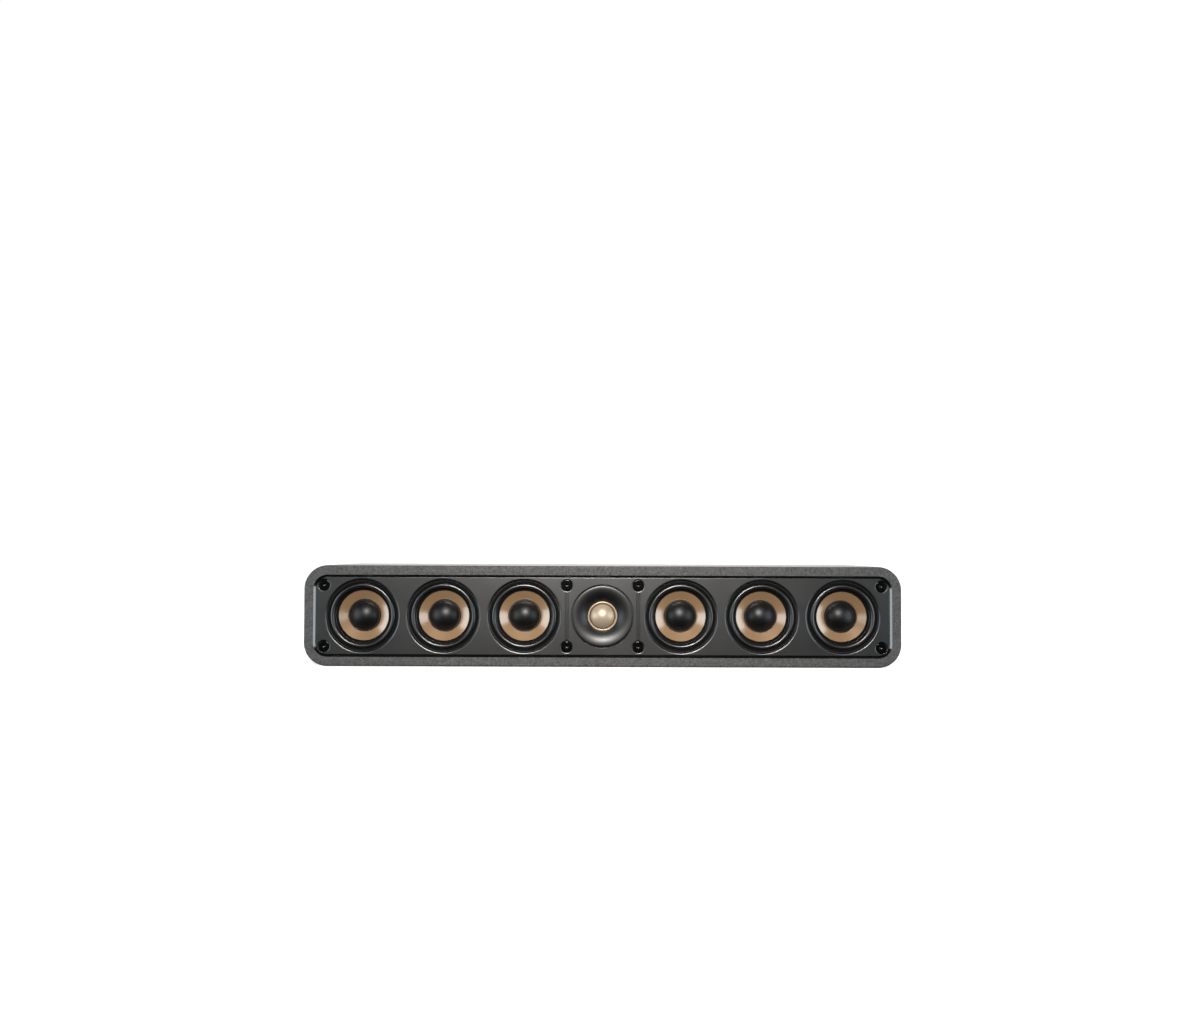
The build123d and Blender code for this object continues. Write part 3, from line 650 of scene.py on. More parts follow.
def frame_finish():
    """Grey grain on the band, and smooth satin black on the bevel inside it."""
    material, tree, shader = blank(
        "Frame Texture", specular_ior_level=0.4, coat_roughness=0.16, coat_ior=2.2
    )
    grain = grouped(tree, "Fine Grain", colour=rgba(colours().band), size=620.0, contrast=2.6)
    inset = grouped(tree, "Frame Inset", corner=sizes().corner)["Inset"]
    bevel = math_node(tree, "GREATER_THAN", inset, sizes().band + 0.05 * MM)
    tone = blended(tree, bevel, grain["Colour"], rgba(colours().panel))
    handled(tree, shader, tone, math_node(tree, "MULTIPLY_ADD", bevel, -0.36, 0.62))
    tree.links.new(bevel, shader["Coat Weight"])
    flat = math_node(tree, "SUBTRACT", 1.0, bevel)
    raised(tree, shader, math_node(tree, "MULTIPLY", grain["Height"], flat), 0.6, 0.12)
    return material


def make_finishes():
    """Every finish, by its name."""
    for make in (make_grain, make_rings, make_handling, make_inset):
        make()
    tint = colours()
    # Grained: colour, grain size, contrast, roughness, depth in mm, specular, metallic, marks
    FINISHES.update(
        frame=frame_finish(),
        panel=panel_finish(),
        wrap=grained("Cabinet Wrap", tint.wrap, 420.0, 0.6, 0.28, 0.03, 0.5, 0.0, 0.02),
        rear=grained("Rear Paint", grey(0.034), 500.0, 0.6, 0.5, 0.06, 0.4),
        board=grained("Fibreboard", tint.board, 420.0, 0.5, 0.85, 0.08, 0.2),
        moulding=grained("Black Moulding", grey(0.022), 900.0, 0.25, 0.38, 0.02),
        faceplate=grained("Faceplate Satin", tint.panel, 1500.0, 0.15, 0.38, 0.002, 0.75),
        rubber=rubber_finish(),
        cone=ringed("Cone Champagne", tint.cone, 0.34, 2600.0, 0.006, metallic=0.2, coat_weight=1.0),
        cap=ringed("Dust Cap Black", grey(0.002), 0.41, 700.0, 0.004),
        dome=dome_finish(),
        hardware=grained("Black Screws", grey(0.002), 1800.0, 0.3, 0.15, 0.002, 0.6),
        basket=grained("Basket Paint", grey(0.02), 900.0, 0.3, 0.4, 0.01),
        steel=grained("Zinc Plate", (0.55, 0.55, 0.56), 600.0, 0.35, 0.38, 0.01, 0.5, 1.0),
        ferrite=grained("Ferrite", (0.045, 0.045, 0.047), 800.0, 0.5, 0.75, 0.05, 0.3),
        cloth=grained("Spider Cloth", (0.45, 0.27, 0.09), 1500.0, 0.7, 0.8, 0.08, 0.2),
        copper=grained("Copper Winding", tint.copper, 2200.0, 0.4, 0.35, 0.05, 0.5, 0.9),
        gold=grained("Gold Plate", tint.gold, 1500.0, 0.12, 0.24, 0.003, 0.5, 1.0),
        red_cap=grained("Red Cap", tint.red, 1300.0, 0.15, 0.3, 0.006),
        black_cap=grained("Black Cap", grey(0.014), 1300.0, 0.2, 0.3, 0.006),
        circuit=grained("Circuit Board", (0.03, 0.13, 0.05), 700.0, 0.3, 0.45, 0.01),
        film=grained("Film Can", (0.55, 0.36, 0.03), 900.0, 0.2, 0.35, 0.005),
    )


def finish(name):
    """A finish by its name; all are made when the first is asked for."""
    if not FINISHES:
        make_finishes()
    return FINISHES[name]


# Cabinet and front


def on_outline(point, inset):
    """True if a point lies on the cabinet's rounded outline, drawn in by an inset."""
    corner = sizes().corner
    past_x = abs(point.x) - (HALF_WIDTH - corner)
    past_z = abs(point.z - MID_HEIGHT) - (MID_HEIGHT - corner)
    depth = math.hypot(max(past_x, 0), max(past_z, 0)) + min(max(past_x, past_z), 0)
    tolerance = 0.05 * MM
    return abs(corner - inset - depth) < tolerance


class SPEAKER_OT_cabinet(bpy.types.Operator):
    """Model the rounded cabinet sleeve."""

    bl_idname = "speaker.cabinet"
    bl_label = "Cabinet Sleeve"

    def execute(self, context):
        size = sizes()
        sleeve = slab("cabinet_wrap", (-HALF_WIDTH, BAFFLE, 0), (HALF_WIDTH, REAR, HEIGHT))
        round_long_edges(sleeve, HALF_WIDTH, size.corner, 20)
        for end in (BAFFLE, REAR):
            pick(sleeve, "FACE", lambda p: near(p.y, end))
            bpy.ops.mesh.delete(type="ONLY_FACE")
        modify(sleeve, "SOLIDIFY", thickness=size.wall, use_even_offset=True)
        rear_round = 1.0 * MM
        round_edges(sleeve, lambda p: near(p.y, REAR) and on_outline(p, 0), rear_round, 3)
        tidy(sleeve)
        rim = size.wall - size.rebate
        half = HALF_WIDTH - rim
        front_board = (BAFFLE - MM, span("sub_baffle", 1)[1])
        rear_board = (span("rear_panel", 1)[0], REAR + MM)
        for low, high in (front_board, rear_board):
            board = slab("board", (-half, low, rim), (half, high, HEIGHT - rim))
            round_long_edges(board, half, size.corner - rim, 20)
            carve(sleeve, board)
        tidy(sleeve)
        dress(sleeve, "wrap", "cabinet_sleeve")
        return {"FINISHED"}


class SPEAKER_OT_frame(bpy.types.Operator):
    """Model the front frame: a flat band with a bevel down to the panels."""

    bl_idname = "speaker.frame"
    bl_label = "Front Frame"

    def execute(self, context):
        size = sizes()
        opening, foot = size.band + size.bevel, FRONT + size.bevel
        band = slab("front_frame", (-HALF_WIDTH, FRONT, 0), (HALF_WIDTH, BAFFLE, HEIGHT))
        round_long_edges(band, HALF_WIDTH, size.corner, 24)
        pick(band, "FACE", lambda p: near(p.y, BAFFLE))
        bpy.ops.mesh.inset(thickness=opening, depth=0)
        pick(band, "FACE", lambda p: near(p.y, FRONT))
        bpy.ops.mesh.inset(thickness=size.band, depth=0)
        bpy.ops.mesh.inset(thickness=size.bevel, depth=-size.bevel)
        pick(band, "FACE", lambda p: on_outline(p, opening) and (near(p.y, foot) or near(p.y, BAFFLE)))
        bpy.ops.mesh.bridge_edge_loops()
        outer_round, inner_round = 2.0 * MM, 0.25 * MM
        round_edges(band, lambda p: near(p.y, FRONT) and on_outline(p, 0), outer_round, 5)
        round_edges(band, lambda p: near(p.y, FRONT) and on_outline(p, size.band), inner_round, 2)
        tidy(band)
        dress(band, "frame", "front_bezel")
        return {"FINISHED"}


def screw_places():
    """The (x, z) places of the eight panel screws."""
    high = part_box("panel_screws")[1]
    solid_head = 4.2 * MM
    end, top = high.x - solid_head, high.z - solid_head
    return [(x, z) for x in (-end, -SEAM, SEAM, end) for z in (HEIGHT - top, top)]


def mouth_profile(radius, rounding):
    """A round cutter that leaves an opening with a rounded front edge."""
    ahead, behind = PANEL_FRONT - MM, BAFFLE + MM
    lip = bow((radius + rounding, PANEL_FRONT + rounding), rounding, 90, 180, 8)
    return [(CROWN, ahead), (radius + rounding, ahead), *lip, (radius, behind), (CROWN, behind)]


def sink_profile():
    """A round cutter for a screw's hole and counterbore, with a dished lip."""
    ahead, behind = PANEL_FRONT - MM, BAFFLE + MM
    rim, rounding, hole = sizes().screw_sink, 1.4 * MM, 1.9 * MM
    lip = bow((rim + rounding / 2, PANEL_FRONT + rounding), rounding, 90, 120, 5)
    floor = [(rim, SCREW_SEAT), (hole, SCREW_SEAT), (hole, behind), (CROWN, behind)]
    return [(CROWN, ahead), (rim + rounding / 2, ahead), *lip, *floor]


def groove(x, low, high):
    """A cutter for the shallow channel along a seam, between two screws."""
    depth, flat, slope = 0.8 * MM, 1.5 * MM, 0.5 * MM
    near_end, far_end = PANEL_FRONT - depth, PANEL_FRONT + depth
    tool = slab("groove", (x - flat, near_end, low), (x + flat, far_end, high))
    centre, half = (x, (low + high) / 2), (flat, (high - low) / 2)
    widen_end(tool, near_end, centre, half, 2 * slope)
    return tool


def part(moulding, name, solid, low, high):
    """One panel, cut from the moulding between two places along x."""
    panel = copy_to(moulding, name, (0, 0, 0))
    for x, side in ((low, -1), (high, 1)):
        if x is None:
            continue
        edit(panel)
        bpy.ops.mesh.select_all(action="SELECT")
        bpy.ops.mesh.bisect(
            plane_co=(x, 0, 0),
            plane_no=(side, 0, 0),
            use_fill=True,
            clear_outer=True,
            threshold=JOIN_DISTANCE,
        )
    tidy(panel)
    dress(panel, "panel", solid)


class SPEAKER_OT_panels(bpy.types.Operator):
    """Model the three front panels as one moulding and part them at the seams."""

    bl_idname = "speaker.panels"
    bl_label = "Front Panels"

    def execute(self, context):
        size = sizes()
        low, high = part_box("left_panel")
        half = -low.x
        corner, thick, rim, edge = 12.1 * MM, 3.0 * MM, 1.1 * MM, 0.6 * MM
        boss_radius, overlap, tweeter_round, clear = 6.9 * MM, 0.5 * MM, 0.2 * MM, 7.5 * MM
        plate = PANEL_FRONT + thick
        moulding = slab("panel_moulding", (-half, PANEL_FRONT, low.z), (half, BAFFLE, high.z))
        round_long_edges(moulding, half, corner, 12)
        pick(moulding, "FACE", lambda p: near(p.y, BAFFLE))
        bpy.ops.mesh.inset(thickness=rim, depth=plate - BAFFLE)
        round_edges(moulding, lambda p: near(p.y, PANEL_FRONT), edge, 4)
        tidy(moulding)
        places = screw_places()
        boss = [(boss_radius, BAFFLE), (boss_radius, plate - overlap)]
        bosses = [turned("boss", place, boss, 48) for place in places]
        carve(moulding, joined(bosses), "UNION")
        openings = [(x, size.opening, size.opening_round) for x in WOOFER_X]
        openings.append((0, size.tweeter_opening, tweeter_round))
        mouths = [
            turned("mouth", (x, MID_HEIGHT), mouth_profile(radius, rounding))
            for x, radius, rounding in openings
        ]
        carve(moulding, joined(mouths))
        sinks = [turned("sink", place, sink_profile(), 48) for place in places]
        carve(moulding, joined(sinks))
        lowest, highest = places[0][1] + clear, places[1][1] - clear
        grooves = [groove(x, lowest, highest) for x in (-SEAM, SEAM)]
        carve(moulding, joined(grooves))
        tidy(moulding)
        inner, outer = SEAM - SEAM_HALF_GAP, SEAM + SEAM_HALF_GAP
        part(moulding, "left_front_panel", "left_panel", None, -outer)
        part(moulding, "center_front_panel", "center_panel", -inner, inner)
        part(moulding, "right_front_panel", "right_panel", outer, None)
        bpy.data.objects.remove(moulding)
        return {"FINISHED"}


def panel_screw(place):
    """A socket-headed screw: a turned blank with a hexagon sunk in its head."""
    head, head_height, shank, rounding = sizes().screw_head, 2.8 * MM, 1.8 * MM, 0.6 * MM
    top, point = SCREW_SEAT - head_height, span("panel_screws", 1)[1]
    socket, socket_depth, dimple_radius, dimple_depth = 2.2 * MM, 1.6 * MM, 1.7 * MM, 0.5 * MM
    edge = bow((head - rounding, top + rounding), rounding, 90, 0, 5)
    stem = [(head, SCREW_SEAT), (shank, SCREW_SEAT), (shank, point), (CROWN, point)]
    screw = turned("panel_screw", place, [(CROWN, top), *edge, *stem], 48)
    deselect()
    bpy.ops.mesh.primitive_cylinder_add(
        vertices=6,
        radius=socket,
        depth=2 * socket_depth,
        location=(place[0], top, place[1]),
        rotation=(math.pi / 2, 0, 0),
    )
    carve(screw, placed("socket"))
    floor = top + socket_depth
    dimple = [(r, 2 * floor - y) for r, y in dome(dimple_radius, dimple_depth, floor, 8)]
    carve(screw, turned("dimple", place, [*dimple, (dimple_radius, floor - MM)], 32))
    tidy(screw)
    return screw


class SPEAKER_OT_screws(bpy.types.Operator):
    """Model the socket-headed panel screws."""

    bl_idname = "speaker.screws"
    bl_label = "Panel Screws"

    def execute(self, context):
        home, *others = screw_places()
        first = panel_screw(home)
        screws = [
            copy_to(first, "panel_screw", (x - home[0], 0, z - home[1])) for x, z in others
        ]
        row = joined([first, *screws], "panel_screw_set")
        dress(row, "hardware", "panel_screws")
        return {"FINISHED"}


# Drivers


def surround_profile():
    """A half roll between its gasket and its lip, with the hollow behind it."""
    size = sizes()
    wall, edge, heel, outer = 0.6 * MM, 0.3 * MM, 0.7 * MM, 35.8 * MM
    foam, lip_width, lift = 1.1 * MM, 3.1 * MM, 0.2 * MM
    gasket, foot = FLANGE - foam, size.cone + lip_width
    centre = (foot + size.roll, FLANGE - lift)
    lip, lip_round = CONE_RIM - wall, 0.15 * MM
    return [
        (outer, FLANGE),
        *bow((outer - edge, gasket + edge), edge, 0, 90, 3),
        (centre[0] + size.roll + edge, gasket),
        *bow(centre, size.roll, 0, 180, 20),
        *reversed(bow((foot - heel, lip - heel), heel, -90, 0, 4)),
        (size.cone + lip_round, lip),
        (size.cone, lip + lip_round),
        (size.cone, lip + wall),
        (foot, lip + wall),
        (foot + wall, lip),
        *reversed(bow(centre, size.roll - wall, 0, 180, 12)),
        (centre[0] + size.roll - wall, FLANGE),
        (outer, FLANGE),
    ]


def cone_profile():
    """A straight-sided cone with a flat rim under the surround's lip."""
    size = sizes()
    wall, glue, neck, steps = 0.6 * MM, 2.5 * MM, 10.3 * MM, 6
    run = neck - size.cone
    fall = -run * CONE_SLOPE
    slope = [
        (size.cone + run * step / steps, CONE_RIM + fall * step / steps) for step in range(steps + 1)
    ]
    return [
        (size.cone + glue, CONE_RIM),
        *slope,
        (neck, CONE_RIM + fall + wall),
        (size.cone, CONE_RIM + wall),
        (size.cone + glue, CONE_RIM + wall),
        (size.cone + glue, CONE_RIM),
    ]


def cap_profile():
    """A domed cap with a grooved brim and a short skirt down to the cone."""
    size = sizes()
    wall, skirt, draft = 0.6 * MM, 1.7 * MM, 0.4 * MM
    brim_width, dip, edge = 1.6 * MM, 0.25 * MM, 0.25 * MM
    foot = CONE_RIM + (size.cone - size.cap) * CONE_SLOPE
    brim = foot - skirt
    level, top = brim + dip, size.cap - draft
    base = top - brim_width
    return [
        *dome(base, size.cap_height, level, 20),
        (base + dip, brim),
        (top - edge, brim),
        (top, brim + edge),
        (size.cap, foot),
        (size.cap - wall, foot + wall * CONE_SLOPE),
        (top - wall, level + wall),
        (base - wall, level + wall),
        *reversed(dome(base - wall, size.cap_height - wall, level, 10)),
    ]


class SPEAKER_OT_woofers(bpy.types.Operator):
    """Model the six surrounds, cones and dust caps."""

    bl_idname = "speaker.woofers"
    bl_label = "Woofers"

    def execute(self, context):
        home = (WOOFER_X[0], MID_HEIGHT)
        surround = turned("surround", home, surround_profile(), 128, True)
        cone = turned("cone", home, cone_profile(), 128, True)
        cap = turned("dust_cap", home, cap_profile(), 96)
        for k, x in zip(WOOFERS, WOOFER_X):
            body, offset = f"woofer_{k}", (x - home[0], 0, 0)
            piece = copy_to(surround, f"{body}_fine_surround", offset)
            dress(piece, "rubber", f"{body}_surround", None)
            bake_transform(piece)
            piece = copy_to(cone, f"{body}_fine_cone", offset)
            dress(piece, "cone", f"{body}_cone", body)
            piece = copy_to(cap, f"{body}_fine_dust_cap", offset)
            dress(piece, "cap", f"{body}_dust_cap", body)
        for model in (surround, cone, cap):
            bpy.data.objects.remove(model)
        return {"FINISHED"}


def faceplate_profile():
    """A crowned rim that flares down to the dome's throat, with its flange and pocket behind."""
    rim, crown, edge, shoulder_drop = sizes().tweeter_rim, 29.3 * MM, 0.15 * MM, 0.22 * MM
    throat, throat_depth, ledge, pocket, outer = 15.2 * MM, 1.3 * MM, 17.1 * MM, 0.7 * MM, 34.2 * MM
    radius, sweep = arc(crown - throat, BAFFLE - throat_depth - PANEL_FRONT)
    flare = bow((crown, PANEL_FRONT + radius), radius, 90, 90 + sweep, 24)
    radius, sweep = arc(rim - edge - crown, shoulder_drop)
    shoulder = bow((crown, PANEL_FRONT + radius), radius, 90 - sweep, 90, 6)
    return [
        (outer, FLANGE),
        (rim, FLANGE),
        (rim, PANEL_FRONT + shoulder_drop + edge),
        *shoulder,
        *flare[1:],
        (throat, BAFFLE - pocket),
        (ledge, BAFFLE - pocket),
        (ledge, BAFFLE),
        (outer, BAFFLE),
        (outer, FLANGE),
    ]


def dome_profile():
    """A dome formed in one piece with its half roll and glued lip."""
    wall, base, roll, lip, lip_width = 0.5 * MM, 13.3 * MM, 0.9 * MM, 0.6 * MM, 1.8 * MM
    height = sizes().dome_height
    level, edge = BAFFLE - lip, base + 2 * roll + lip_width
    return [
        *dome(base, height, level, 24),
        *reversed(bow((base + roll, level), roll, 0, 180, 8)),
        (edge, level),
        (edge, BAFFLE),
        *reversed(dome(base - wall, height + lip - wall, BAFFLE, 12)),
    ]


class SPEAKER_OT_tweeter(bpy.types.Operator):
    """Model the tweeter's flared faceplate and its dome."""

    bl_idname = "speaker.tweeter"
    bl_label = "Tweeter"

    def execute(self, context):
        centre = (0, MID_HEIGHT)
        plate = turned("tweeter_flare", centre, faceplate_profile(), 128, True)
        dress(plate, "faceplate", "tweeter_faceplate")
        diaphragm = turned("tweeter_diaphragm", centre, dome_profile(), 96)
        dress(diaphragm, "dome", "tweeter_dome")
        return {"FINISHED"}


# Rear


def grip_profile(low, high):
    """A clamping cap with a plug hole in its end."""
    bore, grip, mouth, wall = 4.0 * MM, 7.4 * MM, 2.5 * MM, 1.9 * MM
    chamfer, foot_edge, mouth_edge = 1.2 * MM, 0.3 * MM, 0.4 * MM
    return [
        (bore, low),
        (grip - foot_edge, low),
        (grip, low + foot_edge),
        (grip, high - chamfer),
        (grip - chamfer, high),
        (mouth + mouth_edge, high),
        (mouth, high - mouth_edge),
        (mouth, high - wall),
        (bore, high - wall),
        (bore, low),
    ]


def port_profile(rim):
    """A tube with a flared mouth and a flange in the rear panel."""
    inner = span("reflex_ports", 1)[0]
    bore, wall, flare, flange = 16.0 * MM, 2.5 * MM, 7.0 * MM, 2.5 * MM
    return [
        (rim, REAR - flange),
        (rim, REAR),
        *bow((bore + flare, REAR - flare), flare, -90, -180, 14),
        (bore, inner),
        (bore + wall, inner),
        (bore + wall, REAR - flare),
        (rim, REAR - flange),
    ]


class SPEAKER_OT_terminals(bpy.types.Operator):
    """Model the fluted terminal caps and the flared reflex ports."""

    bl_idname = "speaker.terminals"
    bl_label = "Terminals and Ports"

    def execute(self, context):
        flute_count, flute_circle, flute_radius = 12, 7.4 * MM, 1.1 * MM
        turns = [math.tau * step / flute_count for step in range(flute_count)]
        for side in ("black", "red"):
            low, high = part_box(f"{side}_cap")
            x = (low.x + high.x) / 2
            profile = grip_profile(low.y, high.y)
            cap = turned(f"{side}_fluted_cap", (x, MID_HEIGHT), profile, 96, True)
            flute = [(flute_radius, low.y - MM), (flute_radius, high.y + MM)]
            places = [
                (x + flute_circle * math.cos(turn), MID_HEIGHT + flute_circle * math.sin(turn))
                for turn in turns
            ]
            flutes = [turned("flute", place, flute, 20) for place in places]
            carve(cap, joined(flutes))
            tidy(cap)
            dress(cap, f"{side}_cap", f"{side}_cap", f"{side}_grip")
        low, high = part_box("reflex_ports")
        radius = (high.z - low.z) / 2
        tubes = [
            turned("port_tube", (x, MID_HEIGHT), port_profile(radius), RING_STEPS, True)
            for x in (low.x + radius, high.x - radius)
        ]
        dress(joined(tubes, "flared_ports"), "moulding", "reflex_ports")
        return {"FINISHED"}


def tub(name, wide, tall, corner, far, near_end, draft):
    """A block round the middle with rounded corners, tapered by some degrees to its far end."""
    low, high = (-wide, far, MID_HEIGHT - tall), (wide, near_end, MID_HEIGHT + tall)
    block = slab(name, low, high)
    round_long_edges(block, wide, corner, 10)
    shrink = (near_end - far) * math.tan(math.radians(draft))
    widen_end(block, far, (0, MID_HEIGHT), (wide, tall), -shrink)
    return block


def cup_screw_places():
    """The (x, z) places of the terminal cup's four screws."""
    low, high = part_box("terminal_cup")
    inset = 4.0 * MM
    return [(x, z) for x in (low.x + inset, high.x - inset) for z in (low.z + inset, high.z - inset)]


class SPEAKER_OT_cup(bpy.types.Operator):
    """Model the terminal cup that is sunk in the rear panel."""

    bl_idname = "speaker.cup"
    bl_label = "Terminal Cup"

    def execute(self, context):
        low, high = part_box("terminal_cup")
        flange, wall, thick, corner, draft = 8.0 * MM, 2.5 * MM, 3.0 * MM, 8.0 * MM, 6
        flange_round, floor_round, mouth_round = 0.5 * MM, 2.5 * MM, 1.2 * MM
        post, head, shank, sink = 3.0 * MM, 3.3 * MM, 1.6 * MM, 1.7 * MM
        half, floor = high.z - MID_HEIGHT, low.y + wall
        wide, tall = high.x - flange - wall, half - flange - wall
        cup = tub("terminal_well", high.x, half, corner, REAR - thick, REAR, 0)
        round_edges(cup, lambda p: near(p.y, REAR), flange_round, 3)
        shell = tub("shell", wide + wall, tall + wall, corner + wall, low.y, REAR - MM, draft)
        carve(cup, shell, "UNION")
        well = tub("well", wide, tall, corner, floor, REAR + MM, draft)
        round_edges(well, lambda p: near(p.y, floor), floor_round, 5)
        carve(cup, well)

        def in_mouth(point):
            inside = abs(point.x) < wide + MM and abs(point.z - MID_HEIGHT) < tall + MM
            return near(point.y, REAR) and inside

        round_edges(cup, in_mouth, mouth_round, 4)
        bore = [(post, low.y - MM), (post, floor + MM)]
        holes = [
            turned("hole", (middle(f"{side}_cap").x, MID_HEIGHT), bore, 40) for side in ("black", "red")
        ]
        ahead, behind = REAR + MM, REAR - thick - MM
        cone = [(head, ahead), (head, REAR), (shank, REAR - sink), (shank, behind)]
        holes += [
            turned("sink", place, [(CROWN, ahead), *cone, (CROWN, behind)], 40)
            for place in cup_screw_places()
        ]
        carve(cup, joined(holes))
        tidy(cup)
        dress(cup, "moulding", "terminal_cup")
        return {"FINISHED"}


def cross_screw(length):
    """A countersunk screw at the origin with a cross in its head, which faces +Y."""
    head, shank, edge = 3.2 * MM, 1.5 * MM, 0.15 * MM
    arm, half_slot, depth = 1.8 * MM, 0.45 * MM, 1.2 * MM
    profile = [(CROWN, 0), (head - edge, 0), (head, -edge), (shank, shank - head), (shank, -length)]
    screw = turned("cross_screw", (0, 0), [*profile, (CROWN, -length)], 40)
    for wide, tall in ((arm, half_slot), (half_slot, arm)):
        carve(screw, slab("recess", (-wide, -depth, -tall), (wide, MM, tall)))
    tidy(screw)
    return screw


class SPEAKER_OT_fixings(bpy.types.Operator):
    """Model the cross-headed screws of the cup, the hangers and the crossover board."""

    bl_idname = "speaker.fixings"
    bl_label = "Cross-Headed Screws"

    def execute(self, context):
        long_screw, short_screw = cross_screw(9.0 * MM), cross_screw(7.6 * MM)
        low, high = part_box("keyhole_plates")
        from_side, inset = 8.0 * MM, 5.2 * MM
        side = high.x - from_side
        places = cup_screw_places()
        places += [(x, z) for x in (-side, side) for z in (low.z + inset, high.z - inset)]
        row = [copy_to(long_screw, "fixing", (x, REAR, z)) for x, z in places]
        low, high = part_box("crossover_board")
        inset = 3.2 * MM
        row += [
            copy_to(short_screw, "fixing", (x, y, high.z), math.pi / 2)
            for x in (low.x + inset, high.x - inset)
            for y in (low.y + inset, high.y - inset)
        ]
        for model in (long_screw, short_screw):
            bpy.data.objects.remove(model)
        dress(joined(row, "cross_headed_screws"), "hardware", "wood_screws")
        return {"FINISHED"}


SOLID_FINISHES = {
    "rear": ["rear_panel"],
    "board": ["sub_baffle", "cabinet_braces"],
    "hardware": ["woofer_screws"],
    "cloth": ["woofer_spiders"],
    "steel": ["motor_top_plates", "motor_yokes", "keyhole_plates"],
    "ferrite": ["motor_magnets"],
    "gold": ["binding_posts", "black_clamp_washer", "red_clamp_washer"],
    "circuit": ["crossover_board"],
    "film": ["crossover_capacitors"],
    "copper": ["crossover_coils", "tweeter_voice_coil"] + [f"woofer_{k}_voice_coil" for k in WOOFERS],
    "basket": [f"woofer_{k}_basket" for k in WOOFERS],
}


class SPEAKER_OT_solids(bpy.types.Operator):
    """Give the solids that stay their finishes."""

    bl_idname = "speaker.solids"
    bl_label = "Solids"

    def execute(self, context):
        for name, solids in SOLID_FINISHES.items():
            for solid in solids:
                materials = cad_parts[solid].data.materials
                materials.clear()
                materials.append(finish(name))
        return {"FINISHED"}


# Stage


def lamp(name, place, aim, width, height, power, tint, spread=180):
    """A soft rectangular light turned to an aim, its beam spread over some degrees."""
    deselect()
    bpy.ops.object.light_add(type="AREA", location=place)
    light = bpy.context.object
    light.name = name
    light.rotation_euler = (Vector(aim) - Vector(place)).to_track_quat("-Z", "Y").to_euler()
    light.data.shape = "RECTANGLE"
    light.data.size = width
    light.data.size_y = height
    light.data.energy = power
    light.data.color = tint
    light.data.spread = math.radians(spread)


def backdrop_finish(name, glow, glossy):
    """White to the camera, and in reflections if glossy, least so round the middle; else pale matt."""
    material, tree, shader = blank(
        name,
        base_color=rgba(grey(0.6)),
        roughness=0.9,
        specular_ior_level=0.0,
        emission_color=rgba(grey(1.0)),
    )
    glow = eased(tree, reach(tree, own_place(tree)), 0.35, 1.1, glow, 1.0)
    path = tree.nodes.new("ShaderNodeLightPath").outputs
    seen = path["Is Camera Ray"]
    if glossy:
        seen = math_node(tree, "MAXIMUM", seen, path["Is Glossy Ray"])
        seen = math_node(tree, "MAXIMUM", seen, path["Is Transmission Ray"])
    tree.links.new(math_node(tree, "MULTIPLY", seen, glow), shader["Emission Strength"])
    return material


def sheet(name, size, place, tilt, material):
    """A flat sheet of the stage."""
    deselect()
    bpy.ops.mesh.primitive_plane_add(size=size, location=place, rotation=(tilt, 0, 0))
    made = bpy.context.object
    made.name = name
    made.data.materials.append(material)
    made.visible_diffuse = False
    return made


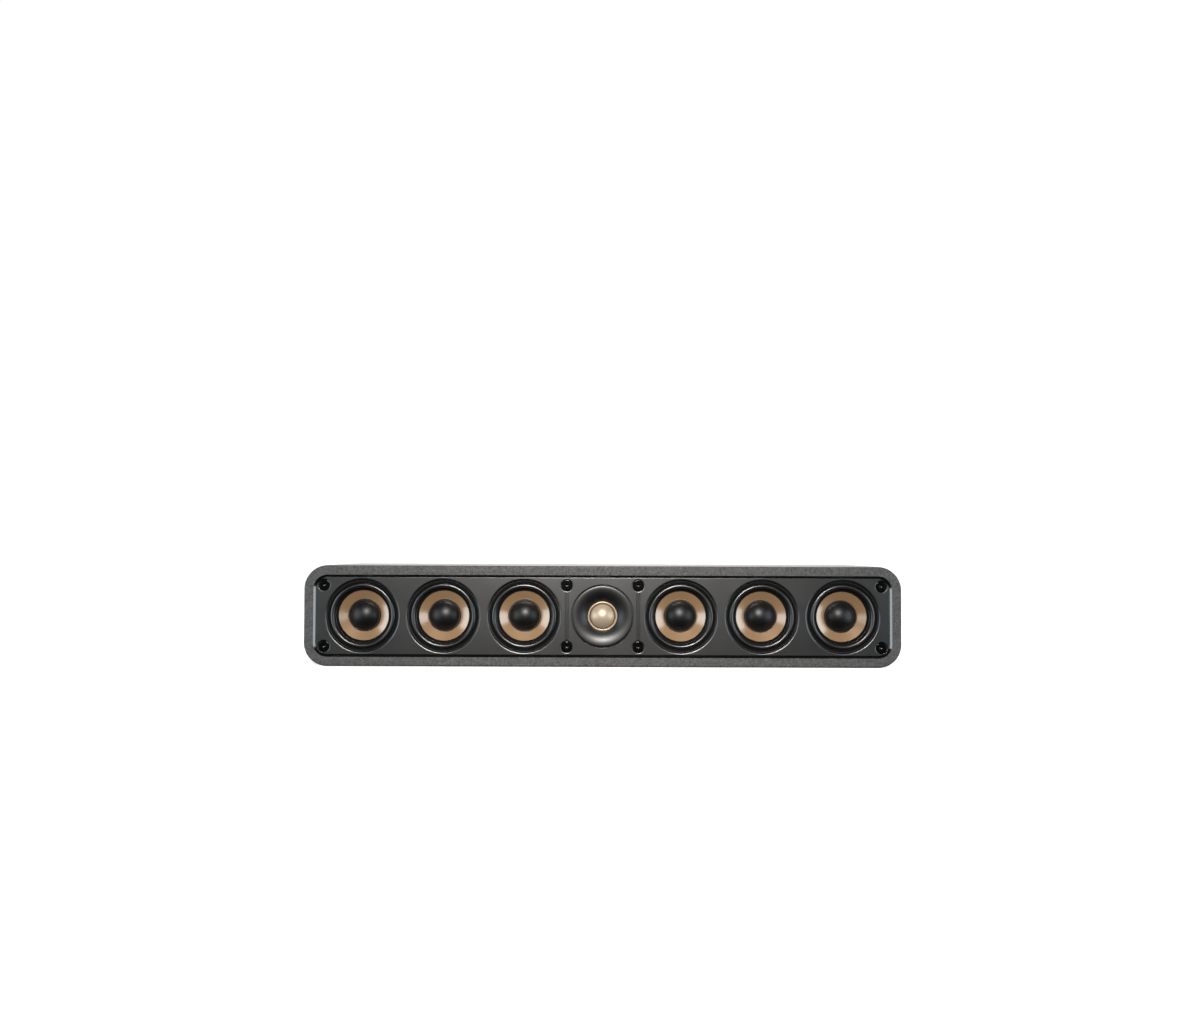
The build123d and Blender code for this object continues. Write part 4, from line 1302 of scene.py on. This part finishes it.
class SPEAKER_OT_stage(bpy.types.Operator):
    """Set the floor, backdrop, lights and camera."""

    bl_idname = "speaker.stage"
    bl_label = "Stage"

    def execute(self, context):
        context.scene.view_settings.view_transform = "Standard"
        self.set_background(context.scene)
        self.set_lights(context.scene.speaker_stage)
        self.set_camera(context.scene, context.scene.speaker_stage)
        return {"FINISHED"}

    def set_background(self, scene):
        """A floor just under the speaker, a card behind it and a white sky round them."""
        floor = sheet("floor", 12, (0, 0, -0.2 * MM), 0, backdrop_finish("Floor White", 0.86, False))
        floor.visible_glossy = False
        floor.visible_shadow = False
        white = backdrop_finish("Backdrop White", 1.0, True)
        sheet("backdrop", 6, (0, 1.4, 3), math.pi / 2, white)
        fill = 0.015
        world = bpy.data.worlds.new("Studio")
        scene.world = world
        world.use_nodes = True
        tree = world.node_tree
        seen = tree.nodes.new("ShaderNodeLightPath").outputs["Is Camera Ray"]
        tone = math_node(tree, "MULTIPLY_ADD", seen, 1 - fill, fill)
        tree.links.new(tone, tree.nodes["Background"].inputs["Strength"])
        tree.nodes["Background"].inputs["Color"].default_value = rgba(grey(1.0))

    def set_lights(self, stage):
        """A main light above the camera, a tall one at each side and a wide one behind."""
        rise, far = math.radians(23.5), 1.3
        place = (-0.04, FRONT - far * math.cos(rise), MID_HEIGHT + far * math.sin(rise))
        warm, cool, pale = (1.0, 0.97, 0.93), (0.82, 0.93, 1.0), (1.0, 0.98, 0.95)
        lamp("main_light", place, (0, FRONT, MID_HEIGHT), 0.36, 0.3, stage.main_power, warm, 60)
        for side in (-1, 1):
            place = (side * 0.75, FRONT - 0.48, MID_HEIGHT + 0.04)
            lamp("side_light", place, (0, *place[1:]), 0.9, 0.52, stage.side_power, cool)
        place = (0.2, REAR + 0.75, 1.1)
        lamp("back_light", place, (0, REAR, MID_HEIGHT), 1.2, 0.6, stage.back_power, pale)

    def set_camera(self, scene, stage):
        """A level camera, leant a little, that takes in a set width at the front."""
        sensor = 36.0
        place = Vector((0, FRONT - stage.camera_distance, stage.camera_height))
        bpy.ops.object.camera_add(location=place)
        camera = bpy.context.object
        camera.name = "camera"
        aim = Vector((stage.aim[0], FRONT, stage.aim[1])) - place
        turn = aim.to_track_quat("-Z", "Y").to_matrix().to_4x4()
        camera.rotation_euler = (turn @ Matrix.Rotation(stage.roll, 4, "Z")).to_euler()
        camera.data.sensor_width = sensor
        camera.data.lens = sensor * stage.camera_distance / stage.view_width
        scene.camera = camera


class SPEAKER_PT_sidebar(bpy.types.Panel):
    """Lists the speaker's operators, sizes, colours and stage settings."""

    bl_idname = "SPEAKER_PT_sidebar"
    bl_label = "Center Channel Speaker"
    bl_space_type = "VIEW_3D"
    bl_region_type = "UI"
    bl_category = "Speaker"

    def draw(self, context):
        for operator in OPERATORS:
            self.layout.operator(operator.bl_idname)
        for group in ("speaker_sizes", "speaker_colours", "speaker_stage"):
            values = getattr(context.scene, group)
            for name in values.bl_rna.properties.keys():
                if name not in ("rna_type", "name"):
                    self.layout.prop(values, name)


OPERATORS = (
    SPEAKER_OT_cabinet,
    SPEAKER_OT_frame,
    SPEAKER_OT_panels,
    SPEAKER_OT_screws,
    SPEAKER_OT_woofers,
    SPEAKER_OT_tweeter,
    SPEAKER_OT_terminals,
    SPEAKER_OT_cup,
    SPEAKER_OT_fixings,
    SPEAKER_OT_solids,
    SPEAKER_OT_stage,
)
CLASSES = (SpeakerSizes, SpeakerColours, StageSettings, *OPERATORS, SPEAKER_PT_sidebar)


def register():
    for item in CLASSES:
        bpy.utils.register_class(item)
    bpy.types.Scene.speaker_sizes = bpy.props.PointerProperty(type=SpeakerSizes)
    bpy.types.Scene.speaker_colours = bpy.props.PointerProperty(type=SpeakerColours)
    bpy.types.Scene.speaker_stage = bpy.props.PointerProperty(type=StageSettings)


def unregister():
    del bpy.types.Scene.speaker_stage
    del bpy.types.Scene.speaker_colours
    del bpy.types.Scene.speaker_sizes
    for item in reversed(CLASSES):
        bpy.utils.unregister_class(item)


def main():
    register()
    bpy.ops.speaker.cabinet()
    bpy.ops.speaker.frame()
    bpy.ops.speaker.panels()
    bpy.ops.speaker.screws()
    bpy.ops.speaker.woofers()
    bpy.ops.speaker.tweeter()
    bpy.ops.speaker.terminals()
    bpy.ops.speaker.cup()
    bpy.ops.speaker.fixings()
    bpy.ops.speaker.solids()
    bpy.ops.speaker.stage()


if __name__ == "__main__":
    main()
